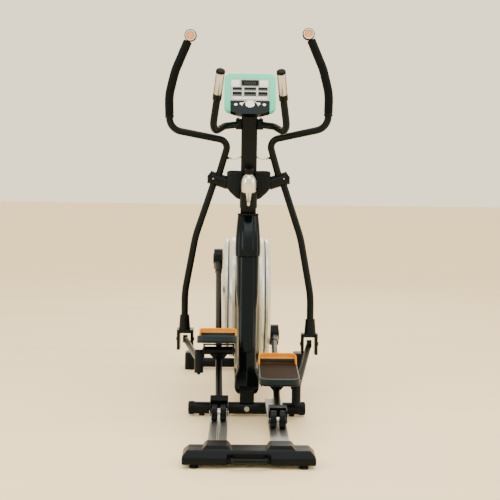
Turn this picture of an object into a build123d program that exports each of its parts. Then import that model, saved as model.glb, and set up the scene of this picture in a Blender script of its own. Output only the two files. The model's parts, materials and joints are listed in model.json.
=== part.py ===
from build123d import *
import os
from math import cos, pi, radians, sin, sqrt, tan

# Front-drive elliptical trainer. Millimetres, +Z up, +Y forward (away from the user),
# +X to the user's right. Heights are from the floor. Distances along the machine are
# given "ahead" of the rear stabiliser's rear face and turned into Y by REAR_Y.
REAR_Y = -917.0

# floor frame
BEAM_WIDTH = 60.0
BEAM_BOTTOM = 57.0
BEAM_TOP = 107.0
STEEL_WALL = 3.0
CROSS_TUBE_R = 25.0
CROSS_TUBE_Z = 32.0
MID_TUBE_AHEAD = 770.0
MID_TUBE_HALF = 236.0
FRONT_TUBE_AHEAD = 1800.0
FRONT_TUBE_HALF = 262.0
FRONT_HALF = 317.0
WHEEL_AHEAD = 1830.0
WHEEL_Z = 36.0
WHEEL_R = 30.0
REAR_HALF = 232.5
REAR_FEET_X = 190.0
REAR_FEET_AHEAD = 20.0

# rails and roller carriages
RAIL_X = 112.0
RAIL_HALF = 34.0
RAIL_BOTTOM = 43.0
RAIL_TRACK = 65.0
RAIL_LIP = 3.0
RAIL_START = 40.0
RAIL_END = 800.0
ROLLER_R = 32.5
ROLLER_WIDTH = 24.0
ROLLER_OFFSET = 17.5
GAP = 0.3
ROLLER_AXLE_R = 6.0
RUNNING = 0.05

# crank
CRANK_AHEAD = 1560.0
CRANK_Z = 410.0
CRANK_THROW = 190.0
CRANK_AXLE_R = 12.5
DISC_R = 293.0
SHELL_R = 300.0
SHELL_HALF = 90.0
LOBE_AHEAD = 1690.0
LOBE_Z = 285.0
LOBE_R = 170.0
PULLEY_R = 140.0
SMALL_PULLEY_R = 25.0
FLYWHEEL_AHEAD = 1700.0
FLYWHEEL_Z = 290.0
FLYWHEEL_R = 125.0
BELT_X = 57.0
BELT_WIDTH = 16.0
BELT_THICK = 4.0

# roller arms: straight from the roller axle to the crank pin
ARM_LENGTH = 1250.0
ARM_TUBE_R = 14.0
ARM_PIN_X = 142.0
BIG_END_R = 52.0
BIG_END_IN = 120.8
BIG_END_OUT = 165.0
PEDAL_ALONG = 380.0
PEDAL_PIVOT_UP = 30.0
CROSS_SLEEVE_HALF = 59.0
PEDAL_PIN_R = 8.0

# pedals, in a frame whose origin is the pedal pivot
PEDAL_X = 126.5
PEDAL_HALF = 81.5
PEDAL_BACK = -192.0
PEDAL_FRONT = 98.0
PEDAL_TOP = 61.0
PEDAL_BOTTOM = 31.0
YAW_POST_X = 204.0
YAW_POST_R = 19.0
YAW_POST_LENGTH = 97.0
YAW_POST_DROP = 45.0

# mast
LEAN = 14.0
MAST_WIDTH = 73.0
MAST_DEPTH = 60.0
MAST_WALL = 2.5
MAST_REF_AHEAD = 1160.0
MAST_REF_Z = 840.0
MAST_FOOT_Z = 560.0
MAST_TOP_Z = 1345.0
BOOT_BOTTOM = 684.0
BOOT_TOP = 840.0

# swing arms
PIVOT_X = 142.5
PIVOT_AHEAD = 1120.0
PIVOT_Z = 1000.0
PIVOT_TILT = 18.0
SWING_PIN_R = 12.5
SWING_TUBE_R = 16.0
SWING_WALL = 2.0
HUB_R = 30.0
HUB_INNER = -50.0
HUB_OUTER = 42.0
KNUCKLE_X = 287.0
KNUCKLE_Z = 250.0
KNUCKLE_AHEAD = 1130.0
GRIP_R = 19.5
POD_R = 27.0

# bottle and its holder, set parallel to the mast on the user's side
BOTTLE_R = 36.0
HOLDER_WALL = 3.0
HOLDER_R = BOTTLE_R + 1.0 + HOLDER_WALL
BOTTLE_OUT = MAST_DEPTH / 2 + 1.0 + HOLDER_R

# console
CONSOLE_AHEAD = 956.0
CONSOLE_Z = 1386.0
CONSOLE_TILT = 20.0
CONSOLE_WIDTH = 228.0
CONSOLE_HEIGHT = 186.0

# rest pose of each side: sign of X, carriage position ahead, and tilts in degrees
SIDES = {
    "left": {"sign": -1, "carriage": 415.0, "tilt": 23.7, "pedal": -9.0, "swing": 5.07},
    "right": {"sign": 1, "carriage": 313.0, "tilt": 5.6, "pedal": 4.5, "swing": -1.51},
}

parts = {}


def at(x, ahead, z):
    return Vector(x, REAR_Y + ahead, z)


def pull(sketch, amount):
    """Extrude a flat sketch along +Z, or along -Z for a negative amount."""
    return extrude(sketch, abs(amount), dir=(0, 0, 1 if amount > 0 else -1))


def rod(start, end, radius):
    axis = end - start
    return Plane(origin=start, z_dir=axis) * Cylinder(
        radius, axis.length, align=(Align.CENTER, Align.CENTER, Align.MIN)
    )


def cone(start, end, radius_start, radius_end):
    axis = end - start
    return Plane(origin=start, z_dir=axis) * Cone(
        radius_start, radius_end, axis.length, align=(Align.CENTER, Align.CENTER, Align.MIN)
    )


def cross_rod(ahead, z, radius, x_start, x_end):
    return rod(at(x_start, ahead, z), at(x_end, ahead, z), radius)


def block(x_range, ahead_range, z_range):
    size = [high - low for low, high in (x_range, ahead_range, z_range)]
    centre = at(*[(low + high) / 2 for low, high in (x_range, ahead_range, z_range)])
    return Pos(centre) * Box(*size)


def side_plate(outline, x_start, x_end):
    """Plate with a side-view outline of (ahead, z) points, between two X positions."""
    points = [(REAR_Y + ahead, z) for ahead, z in outline]
    return Plane.YZ.offset(x_start) * pull(Polygon(*points, align=None), x_end - x_start)


def layered(sections):
    """Ruled body through level sections; each is a height and a list of (x, ahead) corners."""
    faces = []
    for height, corners in sections:
        points = [(x, REAR_Y + ahead) for x, ahead in corners]
        faces.append(Plane.XY.offset(height) * Polygon(*points, align=None))
    return loft(faces, ruled=True)


def bent(points, radii, radius, bore=0.0):
    """Tube along straight runs joined by tangent arcs."""
    path = FilletPolyline(*points, radius=radii)
    profile = Circle(radius) - Circle(bore) if bore else Circle(radius)
    return sweep(Plane(origin=path @ 0, z_dir=path % 0) * profile, path=path)


def turned(outline, centre):
    """Solid turned about the X direction; the outline is (radius, x) points."""
    profile = Plane.XY * Polygon(*[(x, r) for r, x in outline], align=None)
    return Pos(centre) * revolve(profile, Axis.X, 360)


def turn_point(point, centre, axis, angle):
    k = axis.normalized()
    v = point - centre
    c, s = cos(radians(angle)), sin(radians(angle))
    return centre + v * c + k.cross(v) * s + k * (k.dot(v) * (1 - c))


def hexagon_head(start, direction, across, height):
    return Plane(origin=start, z_dir=direction) * pull(RegularPolygon(across / sqrt(3), 6), height)


def mirrored(shape):
    return mirror(shape, about=Plane.YZ)


MAST_PLANE = Plane(
    origin=at(0, MAST_REF_AHEAD, MAST_REF_Z),
    x_dir=(1, 0, 0),
    z_dir=(0, -sin(radians(LEAN)), cos(radians(LEAN))),
)


def mast_piece(width, depth, corner, z_start, z_end):
    """Length of rounded rectangular section along the mast's centre line."""
    start = (z_start - MAST_REF_Z) / cos(radians(LEAN))
    length = (z_end - z_start) / cos(radians(LEAN))
    return MAST_PLANE * Pos(0, 0, start) * pull(RectangleRounded(width, depth, corner), length)


# ---------------------------------------------------------------- floor frame
def bearing_bore(radius, x_start, x_end):
    return cross_rod(CRANK_AHEAD, CRANK_Z, radius, x_start, x_end)


def main_frame():
    half = BEAM_WIDTH / 2
    beam = block((-half, half), (750, 1822), (BEAM_BOTTOM, BEAM_TOP))
    beam -= block((-half + STEEL_WALL, half - STEEL_WALL), (750 + STEEL_WALL, 1822 - STEEL_WALL),
                  (BEAM_BOTTOM + STEEL_WALL, BEAM_TOP - STEEL_WALL))
    post_width = MAST_WIDTH - 2 * MAST_WALL - 0.8
    post_depth = MAST_DEPTH - 2 * MAST_WALL - 0.8
    post = mast_piece(post_width, post_depth, 9.5, 80, 800)
    post -= mast_piece(post_width - 2 * STEEL_WALL, post_depth - 2 * STEEL_WALL, 5, 60, 810)
    post -= block((-60, 60), (1200, 1500), (0, BEAM_TOP - STEEL_WALL))
    frame = beam + post
    web = [(1430, 62), (1495, 400), (1528, 446), (1592, 446), (1728, 322), (1755, 62)]
    for x in (-36.0, 30.0):
        frame += side_plate(web, x, x + 6.0)
    frame += side_plate([(1190, BEAM_TOP), (1318, BEAM_TOP), (1268, 300)], -4, 4)
    frame += bearing_bore(32, -58, 44)
    frame -= bearing_bore(26, -60, 60)
    frame -= cross_rod(FLYWHEEL_AHEAD, FLYWHEEL_Z, 8.5, -60, 60)
    return frame


def front_end_cap():
    """Rounded housing on the front tube's end, with a slot and a pin for the transport wheel."""
    cap = block((257, FRONT_HALF), (1752, 1842), (0, 90))
    upright = cap.edges().filter_by(Axis.Z).group_by(Axis.X)[-1]
    cap = fillet(upright, 20)
    top = cap.edges().group_by(Axis.Z)[-1]
    cap = fillet(top, 12)
    cap -= block((278, 304), (1794, 1850), (-1, 74))
    cap -= rod(at(0, FRONT_TUBE_AHEAD, CROSS_TUBE_Z), at(FRONT_TUBE_HALF, FRONT_TUBE_AHEAD, CROSS_TUBE_Z),
               CROSS_TUBE_R)
    cap += cross_rod(WHEEL_AHEAD, WHEEL_Z, 4, 276, 306)
    return cap


def transport_wheel():
    tyre = turned([(4 + RUNNING, 281), (24, 281), (28, 282), (WHEEL_R, 285), (WHEEL_R, 297),
                   (28, 300), (24, 301), (4 + RUNNING, 301)], at(0, WHEEL_AHEAD, WHEEL_Z))
    return tyre


def mid_end_cap():
    cap = cross_rod(MID_TUBE_AHEAD, CROSS_TUBE_Z, 28, 222, 248)
    cap = fillet(cap.edges().group_by(Axis.X)[-1], 7)
    cap -= cross_rod(MID_TUBE_AHEAD, CROSS_TUBE_Z, CROSS_TUBE_R, 0, MID_TUBE_HALF)
    return cap


def floor_feet():
    feet = []
    for sign in (-1, 1):
        pad = rod(at(sign * 190, MID_TUBE_AHEAD, 0), at(sign * 190, MID_TUBE_AHEAD, 14), 12)
        pad -= cross_rod(MID_TUBE_AHEAD, CROSS_TUBE_Z, CROSS_TUBE_R, -250, 250)
        feet.append(pad)
        x = sign * REAR_FEET_X
        foot = rod(at(x, REAR_FEET_AHEAD, 0), at(x, REAR_FEET_AHEAD, 6), 16)
        foot += cone(at(x, REAR_FEET_AHEAD, 6), at(x, REAR_FEET_AHEAD, 9), 16, 11)
        foot += hexagon_head(at(x, REAR_FEET_AHEAD, 9), (0, 0, 1), 17, 4)
        feet.append(foot)
    return feet


def cover_hull(inset):
    """Bevelled outer form of the rear cover, shrunk all round by the inset."""
    rise = [(inset, 14 - inset), (inset, 36), (20 + inset, 60 - inset), (86 - inset, 64 - inset),
            (112 - inset, 42), (112 - inset, 14 - inset)]
    body = side_plate(rise, -REAR_HALF + inset, REAR_HALF - inset)
    half = REAR_HALF - inset
    end_view = Polygon((-half, 0), (-half, 40), (-half + 24, 66 - inset), (half - 24, 66 - inset),
                       (half, 40), (half, 0), align=None)
    return body & (Plane.XZ.offset(-REAR_Y + 10) * pull(end_view, -140))


def rail_bump(x, inset):
    low, high = x - 47 + inset, x + 47 - inset
    outline = [(low, 30), (low, 64 - inset), (low + 10, 75 - inset), (high - 10, 75 - inset),
               (high, 64 - inset), (high, 30)]
    form = Plane.XZ.offset(-REAR_Y - 20 - inset) * pull(Polygon(*outline, align=None), -88 + 2 * inset)
    slope = side_plate([(20 + inset, 30), (20 + inset, 58), (38 + inset, 84), (90 - inset, 90),
                        (108 - inset, 62), (108 - inset, 30)], low, high)
    return form & slope


def rear_cover():
    wall = 3.0
    cover = cover_hull(0)
    for x in (-RAIL_X, RAIL_X):
        cover += rail_bump(x, 0)
    cavity = cover_hull(wall)
    for x in (-RAIL_X, RAIL_X):
        cavity += rail_bump(x, wall)
    cover -= cavity
    cover += block((-80, 80), (2, 18), (14, 50)) & cover_hull(0)
    cover -= block((-76, 76), (-5, 14), (10, 47))
    for x in (-RAIL_X, RAIL_X):
        cover -= block((x - RAIL_HALF - 1, x + RAIL_HALF + 1), (60, 120), (RAIL_BOTTOM - 1, RAIL_TRACK + 6))
    return cover


def slide_rail(x):
    outline = [(-RAIL_HALF, RAIL_BOTTOM), (RAIL_HALF, RAIL_BOTTOM), (RAIL_HALF, RAIL_TRACK + RAIL_LIP),
               (RAIL_HALF - 3, RAIL_TRACK + RAIL_LIP), (RAIL_HALF - 3, RAIL_TRACK), (4.5, RAIL_TRACK),
               (3.0, RAIL_TRACK + RAIL_LIP), (-3.0, RAIL_TRACK + RAIL_LIP), (-4.5, RAIL_TRACK),
               (-RAIL_HALF + 3, RAIL_TRACK), (-RAIL_HALF + 3, RAIL_TRACK + RAIL_LIP),
               (-RAIL_HALF, RAIL_TRACK + RAIL_LIP)]
    section = Polygon(*outline, align=None)
    for centre in (-16.5, 16.5):
        section -= Pos(centre, (RAIL_BOTTOM + RAIL_TRACK) / 2) * Rectangle(28, 16)
    plane = Plane(origin=at(x, RAIL_END, 0), x_dir=(1, 0, 0), z_dir=(0, -1, 0))
    rail = plane * pull(section, RAIL_END - RAIL_START)
    return rail - cross_rod(MID_TUBE_AHEAD, CROSS_TUBE_Z, CROSS_TUBE_R, -200, 200)


# ---------------------------------------------------------------- drive and its casing
def casing_outline(inset):
    drum = CenterArc((REAR_Y + CRANK_AHEAD, CRANK_Z), SHELL_R - inset, 0, 360)
    lobe = CenterArc((REAR_Y + LOBE_AHEAD, LOBE_Z), LOBE_R - inset, 0, 360)
    return make_hull(drum.edges() + lobe.edges())


def casing_half(spine):
    outer = Plane.YZ * pull(casing_outline(0), SHELL_HALF)
    outer = fillet(outer.edges().group_by(Axis.X)[-1], 24)
    inner = Plane.YZ * pull(casing_outline(3), SHELL_HALF - 3)
    inner = fillet(inner.edges().group_by(Axis.X)[-1], 21)
    shell = outer - inner
    shell -= cross_rod(CRANK_AHEAD, CRANK_Z, 22, 60, 120)
    shell -= block((-1, 38), (1400, 1790), (100, 152))
    return shell - spine


def spine_form(inset):
    """Raked fin between the two casing halves, narrow at the user's side."""
    # height, rear face, end of the straight flank, end of the flare, front, half widths
    rows = [
        (107.0, 850, 1020, 1070, 1400, 30, 40),
        (180.0, 872, 1025, 1075, 1400, 36, 54),
        (300.0, 930, 1030, 1080, 1390, 39, 57),
        (450.0, 992, 1040, 1090, 1370, 40, 55),
        (BOOT_BOTTOM, 1052, 1085, 1125, 1290, 38, 47),
    ]
    sections = []
    for index, (z, rear, straight, flare, front, rear_half, full_half) in enumerate(rows):
        a, b = rear_half - inset, full_half - inset
        flank = [(a, rear + inset), (a + 2, straight), (b, flare), (b, front - inset)]
        corners = flank + [(-x, ahead) for x, ahead in reversed(flank)]
        beyond = -1 if index == 0 else 1 if index == len(rows) - 1 else 0
        sections.append((z + (beyond if inset else 0), corners))
    return layered(sections)


def spine_panel():
    """Raised centre panel on the fin's rear face, rounded at its foot."""
    heights = [(180.0, 869), (300.0, 927), (450.0, 989), (BOOT_BOTTOM, 1049)]
    panel = layered([(z, [(-27, rear), (27, rear), (27, rear + 12), (-27, rear + 12)])
                     for z, rear in heights])
    window = Pos(0, 480) * Rectangle(54, 420) + Pos(0, 270) * Circle(27)
    return panel & (Plane.XZ.offset(-REAR_Y - 800) * pull(window, -400))


def spine_cover():
    cover = spine_form(0) + spine_panel() - spine_form(3)
    for row in range(6):
        z = 140 + 16 * row
        cover -= block((-70, -38), (895 + 7 * row, 935 + 7 * row), (z, z + 6))
        cover -= block((38, 70), (895 + 7 * row, 935 + 7 * row), (z, z + 6))
    return cover - side_plate([(1180, 100), (1330, 100), (1270, 310)], -4, 4)


def mast_boot():
    def form(inset):
        rows = [(BOOT_BOTTOM, 1042, 1296, 50), (700.0, 1044, 1292, 51), (770.0, 1072, 1240, 47),
                (BOOT_TOP, 1116, 1204, 43)]
        low, high = (0, 0) if not inset else (-1, -4)
        sections = []
        for index, (z, rear, front, half) in enumerate(rows):
            level = z + (low if index == 0 else high if index == len(rows) - 1 else 0)
            a = half - inset
            sections.append((level, [(-a, rear + inset), (a, rear + inset), (a, front - inset),
                                     (-a, front - inset)]))
        return layered(sections)

    boot = form(0)
    boot -= form(4)
    return boot - mast_piece(MAST_WIDTH, MAST_DEPTH, 12, 600, 900)


def crank_disc():
    outline = [(14, 97), (238, 97), (256, 109), (264, 114), (278, 112), (290, 101), (290, 95.5),
               (DISC_R, 95.5), (DISC_R, 103), (281, 115), (264, 116.4), (253, 112), (236, 100), (14, 100)]
    disc = turned(outline, at(0, CRANK_AHEAD, CRANK_Z))
    return disc


def cranks():
    """Axle with a crank arm at each end, half a turn apart, each carrying a round pin boss."""
    pieces = [cross_rod(CRANK_AHEAD, CRANK_Z, CRANK_AXLE_R, -100.3, 100.3)]
    for sign, up in ((-1, 1), (1, -1)):
        pin_z = CRANK_Z + up * CRANK_THROW
        low, high = sorted((CRANK_Z, pin_z))
        arm = block(sorted((sign * 100.3, sign * 112.0)), (CRANK_AHEAD - 18, CRANK_AHEAD + 18), (low, high))
        arm += cross_rod(CRANK_AHEAD, CRANK_Z, 27, *sorted((sign * 100.3, sign * 114.0)))
        arm += cross_rod(CRANK_AHEAD, pin_z, 30, *sorted((sign * 100.3, sign * 119.0)))
        pieces.append(arm)
    return pieces


def drive_pulley():
    low, high = BELT_X - BELT_WIDTH / 2 - 3, BELT_X + BELT_WIDTH / 2 + 3
    mid_low, mid_high = BELT_X - 4, BELT_X + 4
    outline = [(CRANK_AXLE_R, low), (28, low), (28, mid_low), (PULLEY_R - 14, mid_low), (PULLEY_R - 14, low),
               (PULLEY_R + 5, low), (PULLEY_R + 5, low + 2.5), (PULLEY_R, low + 2.5),
               (PULLEY_R, high - 2.5), (PULLEY_R + 5, high - 2.5), (PULLEY_R + 5, high),
               (PULLEY_R - 14, high), (PULLEY_R - 14, mid_high), (28, mid_high), (28, high),
               (CRANK_AXLE_R, high)]
    pulley = turned(outline, at(0, CRANK_AHEAD, CRANK_Z))
    for hole in range(5):
        angle = radians(72 * hole)
        ahead = CRANK_AHEAD + 78 * cos(angle)
        z = CRANK_Z + 78 * sin(angle)
        pulley -= cross_rod(ahead, z, 26, low - 1, high + 1)
    return pulley


def flywheel():
    bore = 8.5 + RUNNING
    wheel = [(bore, -25), (30, -25), (30, -8), (92, -8), (92, -24), (FLYWHEEL_R, -24), (FLYWHEEL_R, 24),
             (92, 24), (92, 8), (30, 8), (30, 26), (bore, 26)]
    small = [(bore, 46), (SMALL_PULLEY_R, 46), (SMALL_PULLEY_R, 68), (bore, 68)]
    centre = at(0, FLYWHEEL_AHEAD, FLYWHEEL_Z)
    return [turned(wheel, centre), turned(small, centre)]


def drive_belt():
    def loop(offset):
        big = CenterArc((REAR_Y + CRANK_AHEAD, CRANK_Z), PULLEY_R + offset, 0, 360)
        little = CenterArc((REAR_Y + FLYWHEEL_AHEAD, FLYWHEEL_Z), SMALL_PULLEY_R + offset, 0, 360)
        return make_hull(big.edges() + little.edges())

    belt = loop(GAP + BELT_THICK) - loop(GAP)
    return Plane.YZ.offset(BELT_X - BELT_WIDTH / 2) * pull(belt, BELT_WIDTH)


def drive_bearings():
    """Two crank bearings and the flywheel's fixed axle."""
    pieces = []
    for low in (-58.0, 28.0):
        ring = bearing_bore(26, low, low + 15) - bearing_bore(CRANK_AXLE_R + RUNNING, low - 1, low + 16)
        pieces.append(ring)
    pieces.append(cross_rod(FLYWHEEL_AHEAD, FLYWHEEL_Z, 8.5, -44, 74))
    return pieces


def brake_coil():
    """Curved electromagnet ahead of the flywheel, on a strap to the left web plate."""
    centre = (REAR_Y + FLYWHEEL_AHEAD, FLYWHEEL_Z)
    ring = Pos(*centre) * (Circle(FLYWHEEL_R + 20) - Circle(FLYWHEEL_R + 3))
    wedge = Polygon(centre, (centre[0] + 220, centre[1] - 20), (centre[0] + 220, centre[1] + 190),
                    (centre[0] + 60, centre[1] + 220), align=None)
    coil = Plane.YZ.offset(-26) * pull(ring & wedge, 46)
    strap = side_plate([(1700, 345), (1742, 425), (1842, 322), (1842, 292), (1740, 292)], -30, -26)
    return [coil, strap]


# ---------------------------------------------------------------- yoke, bottle and handlebar
def pivot_axis(sign):
    """Direction of a swing pivot from the mast outwards, rising to its outer end."""
    return Vector(sign * cos(radians(PIVOT_TILT)), 0, sin(radians(PIVOT_TILT)))


def pivot_point(sign, along=0.0):
    return at(sign * PIVOT_X, PIVOT_AHEAD, PIVOT_Z) + pivot_axis(sign) * along


def pivot_axles():
    solid = mast_piece(MAST_WIDTH, MAST_DEPTH, 12, 880, 1100)
    pieces = []
    for sign in (-1, 1):
        axle = cone(pivot_point(sign, -118), pivot_point(sign, -62), 26, 20)
        axle += rod(pivot_point(sign, -62), pivot_point(sign, HUB_INNER - 0.4), 28)
        axle += rod(pivot_point(sign, -60), pivot_point(sign, HUB_OUTER + 0.4), SWING_PIN_R)
        axle += rod(pivot_point(sign, HUB_OUTER + 0.4), pivot_point(sign, HUB_OUTER + 3.4), 18)
        axle += hexagon_head(pivot_point(sign, HUB_OUTER + 3.4), pivot_axis(sign), 13, 4)
        pieces.append(axle - solid)
    return pieces


def wing_section(x, low, high, rear, front):
    centre = ((rear + front) / 2 + REAR_Y, (low + high) / 2)
    return Plane.YZ.offset(x) * Pos(*centre) * RectangleRounded(front - rear, high - low, 14)


def yoke_cover():
    """V-shaped moulding round the mast that carries a pivot axle in each wing."""
    rows = [(100, 962, 1038, 1088, 1152), (85, 942, 1043, 1082, 1160), (55, 915, 1043, 1072, 1170),
            (0, 897, 1040, 1062, 1180)]
    cover = None
    for sign in (-1, 1):
        sections = [wing_section(sign * x, *sizes) for x, *sizes in rows]
        wing = loft(sections, ruled=True)
        cover = wing if cover is None else cover + wing
    cover -= mast_piece(MAST_WIDTH, MAST_DEPTH, 12, 800, 1150)
    for sign in (-1, 1):
        cover -= cone(pivot_point(sign, -118), pivot_point(sign, -62), 26, 20)
        cover -= rod(pivot_point(sign, -62), pivot_point(sign, HUB_INNER), 28)
        cover -= rod(pivot_point(sign, HUB_INNER - 0.6), pivot_point(sign, HUB_OUTER), HUB_R + 1.5)
    cover -= MAST_PLANE * Pos(0, -BOTTLE_OUT, 40) * Cylinder(
        HOLDER_R, 400, align=(Align.CENTER, Align.CENTER, Align.MIN))
    return cover


HOLDER_LOW = 54.0
HOLDER_FRONT = 129.0
HOLDER_BACK = 150.0


def bottle_holder():
    height = HOLDER_BACK - HOLDER_LOW
    cup = Pos(0, 0, HOLDER_LOW) * Cylinder(HOLDER_R, height, align=(Align.CENTER, Align.CENTER, Align.MIN))
    cup -= Pos(0, 0, HOLDER_LOW + 4) * Cylinder(
        BOTTLE_R + 1.0, height, align=(Align.CENTER, Align.CENTER, Align.MIN))
    cup -= Pos(0, -HOLDER_R, (HOLDER_FRONT + HOLDER_BACK) / 2 + 5) * Box(
        4 * HOLDER_R, 1.6 * HOLDER_R, HOLDER_BACK - HOLDER_FRONT + 10)
    slot = Polygon((-7, 75), (7, 75), (16, HOLDER_FRONT + 2), (-16, HOLDER_FRONT + 2), align=None)
    slot += Pos(0, 75) * Circle(7)
    cup -= Plane.XZ * pull(slot, 2 * HOLDER_R)
    return MAST_PLANE * Pos(0, -BOTTLE_OUT, 0) * cup


def bottle():
    low = HOLDER_LOW + 4.3
    outline = [(0, low), (BOTTLE_R - 4, low), (BOTTLE_R, low + 4), (BOTTLE_R, 182), (BOTTLE_R - 6, 196),
               (19, 204), (19, 210), (0, 210)]
    cap_outline = [(0, 210.0), (20, 210.0), (20, 232), (16, 237), (0, 237)]
    body = revolve(Plane.XZ * Polygon(*outline, align=None), Axis.Z, 360)
    cap = revolve(Plane.XZ * Polygon(*cap_outline, align=None), Axis.Z, 360)
    return [MAST_PLANE * Pos(0, -BOTTLE_OUT, 0) * piece for piece in (body, cap)]


HR_R = 16.0
HR_POINTS = [(40, 1052, 1252), (112, 1000, 1240), (166, 900, 1200), (146, 868, 1338), (129, 782, 1458)]
HR_RADII = [60, 48, 90]


def handlebar_points(sign):
    return [at(sign * x, ahead, z) for x, ahead, z in HR_POINTS]


def hr_handlebar():
    """Fixed handlebar: one bent tube each side, joined by a cross tube behind the mast clamp."""
    pieces = None
    for sign in (-1, 1):
        side = bent(handlebar_points(sign), HR_RADII, HR_R, HR_R - 2)
        pieces = side if pieces is None else pieces + side
    tube = rod(at(-42, 1052, 1252), at(42, 1052, 1252), HR_R)
    return pieces + tube - mast_piece(MAST_WIDTH, MAST_DEPTH, 12, 1150, 1320)


def hr_grips():
    """On each end: a ferrule, a metal pulse sleeve and a round cap."""
    pieces = []
    for sign in (-1, 1):
        base = at(sign * HR_POINTS[3][0], HR_POINTS[3][1], HR_POINTS[3][2])
        tip = at(sign * HR_POINTS[4][0], HR_POINTS[4][1], HR_POINTS[4][2])
        along = (tip - base).normalized()
        length = (tip - base).length
        bar = bent(handlebar_points(sign), HR_RADII, HR_R)
        spans = [(length - 140, length - 108, 20.0), (length - 108, length - 4, 19.0)]
        for low, high, radius in spans:
            ring = rod(base + along * low, base + along * high, radius)
            pieces.append(ring - bar)
        cap = rod(base + along * (length - 4), base + along * (length + 10), 20.5)
        cap = fillet(cap.edges().filter_by(GeomType.CIRCLE).sort_by(Axis.Z)[-1], 5)
        pieces.append(cap - bar)
    return pieces


def hr_clamps():
    """Bracket each side of the mast that holds the handlebar, with a bolt on top."""
    pieces = []
    bar = rod(at(-200, 1052, 1252), at(200, 1052, 1252), HR_R)
    for sign in (-1, 1):
        low, high = sorted((sign * 36.5, sign * 62.0))
        clamp = block((low, high), (1026, 1084), (1228, 1276))
        clamp = fillet(clamp.edges().filter_by(Axis.X), 10)
        clamp += hexagon_head(at(sign * 52, 1064, 1276), (0, 0, 1), 13, 6)
        clamp -= bar
        clamp -= bent(handlebar_points(sign), HR_RADII, HR_R)
        clamp -= mast_piece(MAST_WIDTH, MAST_DEPTH, 12, 1150, 1320)
        pieces.append(clamp)
    return pieces


# ---------------------------------------------------------------- console
FACE = Plane(
    origin=at(0, CONSOLE_AHEAD, CONSOLE_Z),
    x_dir=(1, 0, 0),
    z_dir=(0, -cos(radians(CONSOLE_TILT)), sin(radians(CONSOLE_TILT))),
)
BUTTONS = {
    "button_enter": (0.0, -58.0, 20.0, 15.0),
    "button_up": (-38.0, -56.0, 7.5, 5.5),
    "button_down": (38.0, -56.0, 7.5, 5.5),
    "button_start": (-63.0, -60.0, 7.5, 5.5),
    "button_mode": (63.0, -60.0, 7.5, 5.5),
}
BUTTON_PROUD = 2.5
BUTTON_DEPTH = 4.0
PANEL_FRONT = 4.0


def slab(width, height, corner, low, high, centre=(0.0, 0.0)):
    return FACE * Pos(centre[0], centre[1], low) * pull(RectangleRounded(width, height, corner), high - low)


def console_shell():
    front = slab(CONSOLE_WIDTH, CONSOLE_HEIGHT, 28, -30, 0, (0, 2))
    back = FACE * loft([Pos(0, 2, -30) * RectangleRounded(CONSOLE_WIDTH, CONSOLE_HEIGHT, 28),
                        Pos(0, 0, -62) * RectangleRounded(150, 120, 24)], ruled=True)
    collar = block((-45, 45), (978, 1072), (1294, 1352))
    collar = fillet(collar.edges().filter_by(Axis.Z), 12)
    shell = front + back + collar
    shell -= slab(174, 152, 6, -2.6, 5, (0, -8))
    inner = slab(CONSOLE_WIDTH - 8, CONSOLE_HEIGHT - 8, 24, -30, -6, (0, 2))
    inner += FACE * loft([Pos(0, 2, -30) * RectangleRounded(CONSOLE_WIDTH - 8, CONSOLE_HEIGHT - 8, 24),
                          Pos(0, 0, -58) * RectangleRounded(144, 114, 21)], ruled=True)
    shell -= inner
    return shell - mast_piece(MAST_WIDTH, MAST_DEPTH, 12, 1200, MAST_TOP_Z + 1)


def console_face():
    plate = slab(172, 106, 5, -2.6, 0.6, (0, 14))
    plate -= slab(74, 27, 2, -0.9, 5, (0, 48))
    return plate


def console_display():
    return slab(73.4, 26.4, 2, -0.9, 1.2, (0, 48))


def button_panel():
    outline = Polygon((-86, -40), (86, -40), (86, -84), (48, -96), (-48, -96), (-86, -84), align=None)
    panel = FACE * Pos(0, 0, -2.6) * pull(outline, PANEL_FRONT + 2.6)
    chin = Polygon((-86, -86), (86, -86), (86, -92), (46, -104), (-46, -104), (-86, -92), align=None)
    panel += FACE * Pos(0, 0, -30) * pull(chin, 30 + PANEL_FRONT)
    panel -= slab(CONSOLE_WIDTH, CONSOLE_HEIGHT, 28, -31, -2.6, (0, 2))
    panel -= console_shell()
    for x, y, half_wide, half_high in BUTTONS.values():
        pocket = Pos(x, y, PANEL_FRONT - BUTTON_DEPTH) * pull(
            Ellipse(half_wide + GAP, half_high + GAP), BUTTON_DEPTH + 1)
        panel -= FACE * pocket
    return panel


def console_button(x, y, half_wide, half_high):
    low = PANEL_FRONT - BUTTON_DEPTH + 2.2
    key = Pos(x, y, low) * pull(Ellipse(half_wide, half_high), PANEL_FRONT + BUTTON_PROUD - low)
    return FACE * key


# ---------------------------------------------------------------- roller arms and pedals
def carriage_point(side):
    return at(side["sign"] * RAIL_X, side["carriage"], RAIL_TRACK + GAP + ROLLER_R)


def placed_on_arm(side, shape):
    """Put a shape drawn in the arm's own frame (origin at the roller axle) into place."""
    return Pos(carriage_point(side)) * Rot(side["tilt"], 0, 0) * shape


def roller_axle(side):
    x = side["sign"] * RAIL_X
    axle = Pos(carriage_point(side)) * Rot(0, 90, 0) * Cylinder(ROLLER_AXLE_R, 74)
    axle += Pos(carriage_point(side)) * Rot(0, 90, 0) * Cylinder(9, 2 * ROLLER_OFFSET - ROLLER_WIDTH - 0.6)
    return axle


def rollers(side):
    wheels = []
    half = ROLLER_WIDTH / 2
    bore = ROLLER_AXLE_R + RUNNING
    for offset in (-ROLLER_OFFSET, ROLLER_OFFSET):
        outline = [(bore, -half), (12, -half), (12, -half + 2), (26, -half + 2), (28, -half), (30, -half),
                   (ROLLER_R, -half + 3), (ROLLER_R, half - 3), (30, half), (28, half), (26, half - 2),
                   (12, half - 2), (12, half), (bore, half)]
        wheels.append(turned(outline, carriage_point(side) + Vector(offset, 0, 0)))
    return wheels


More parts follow.
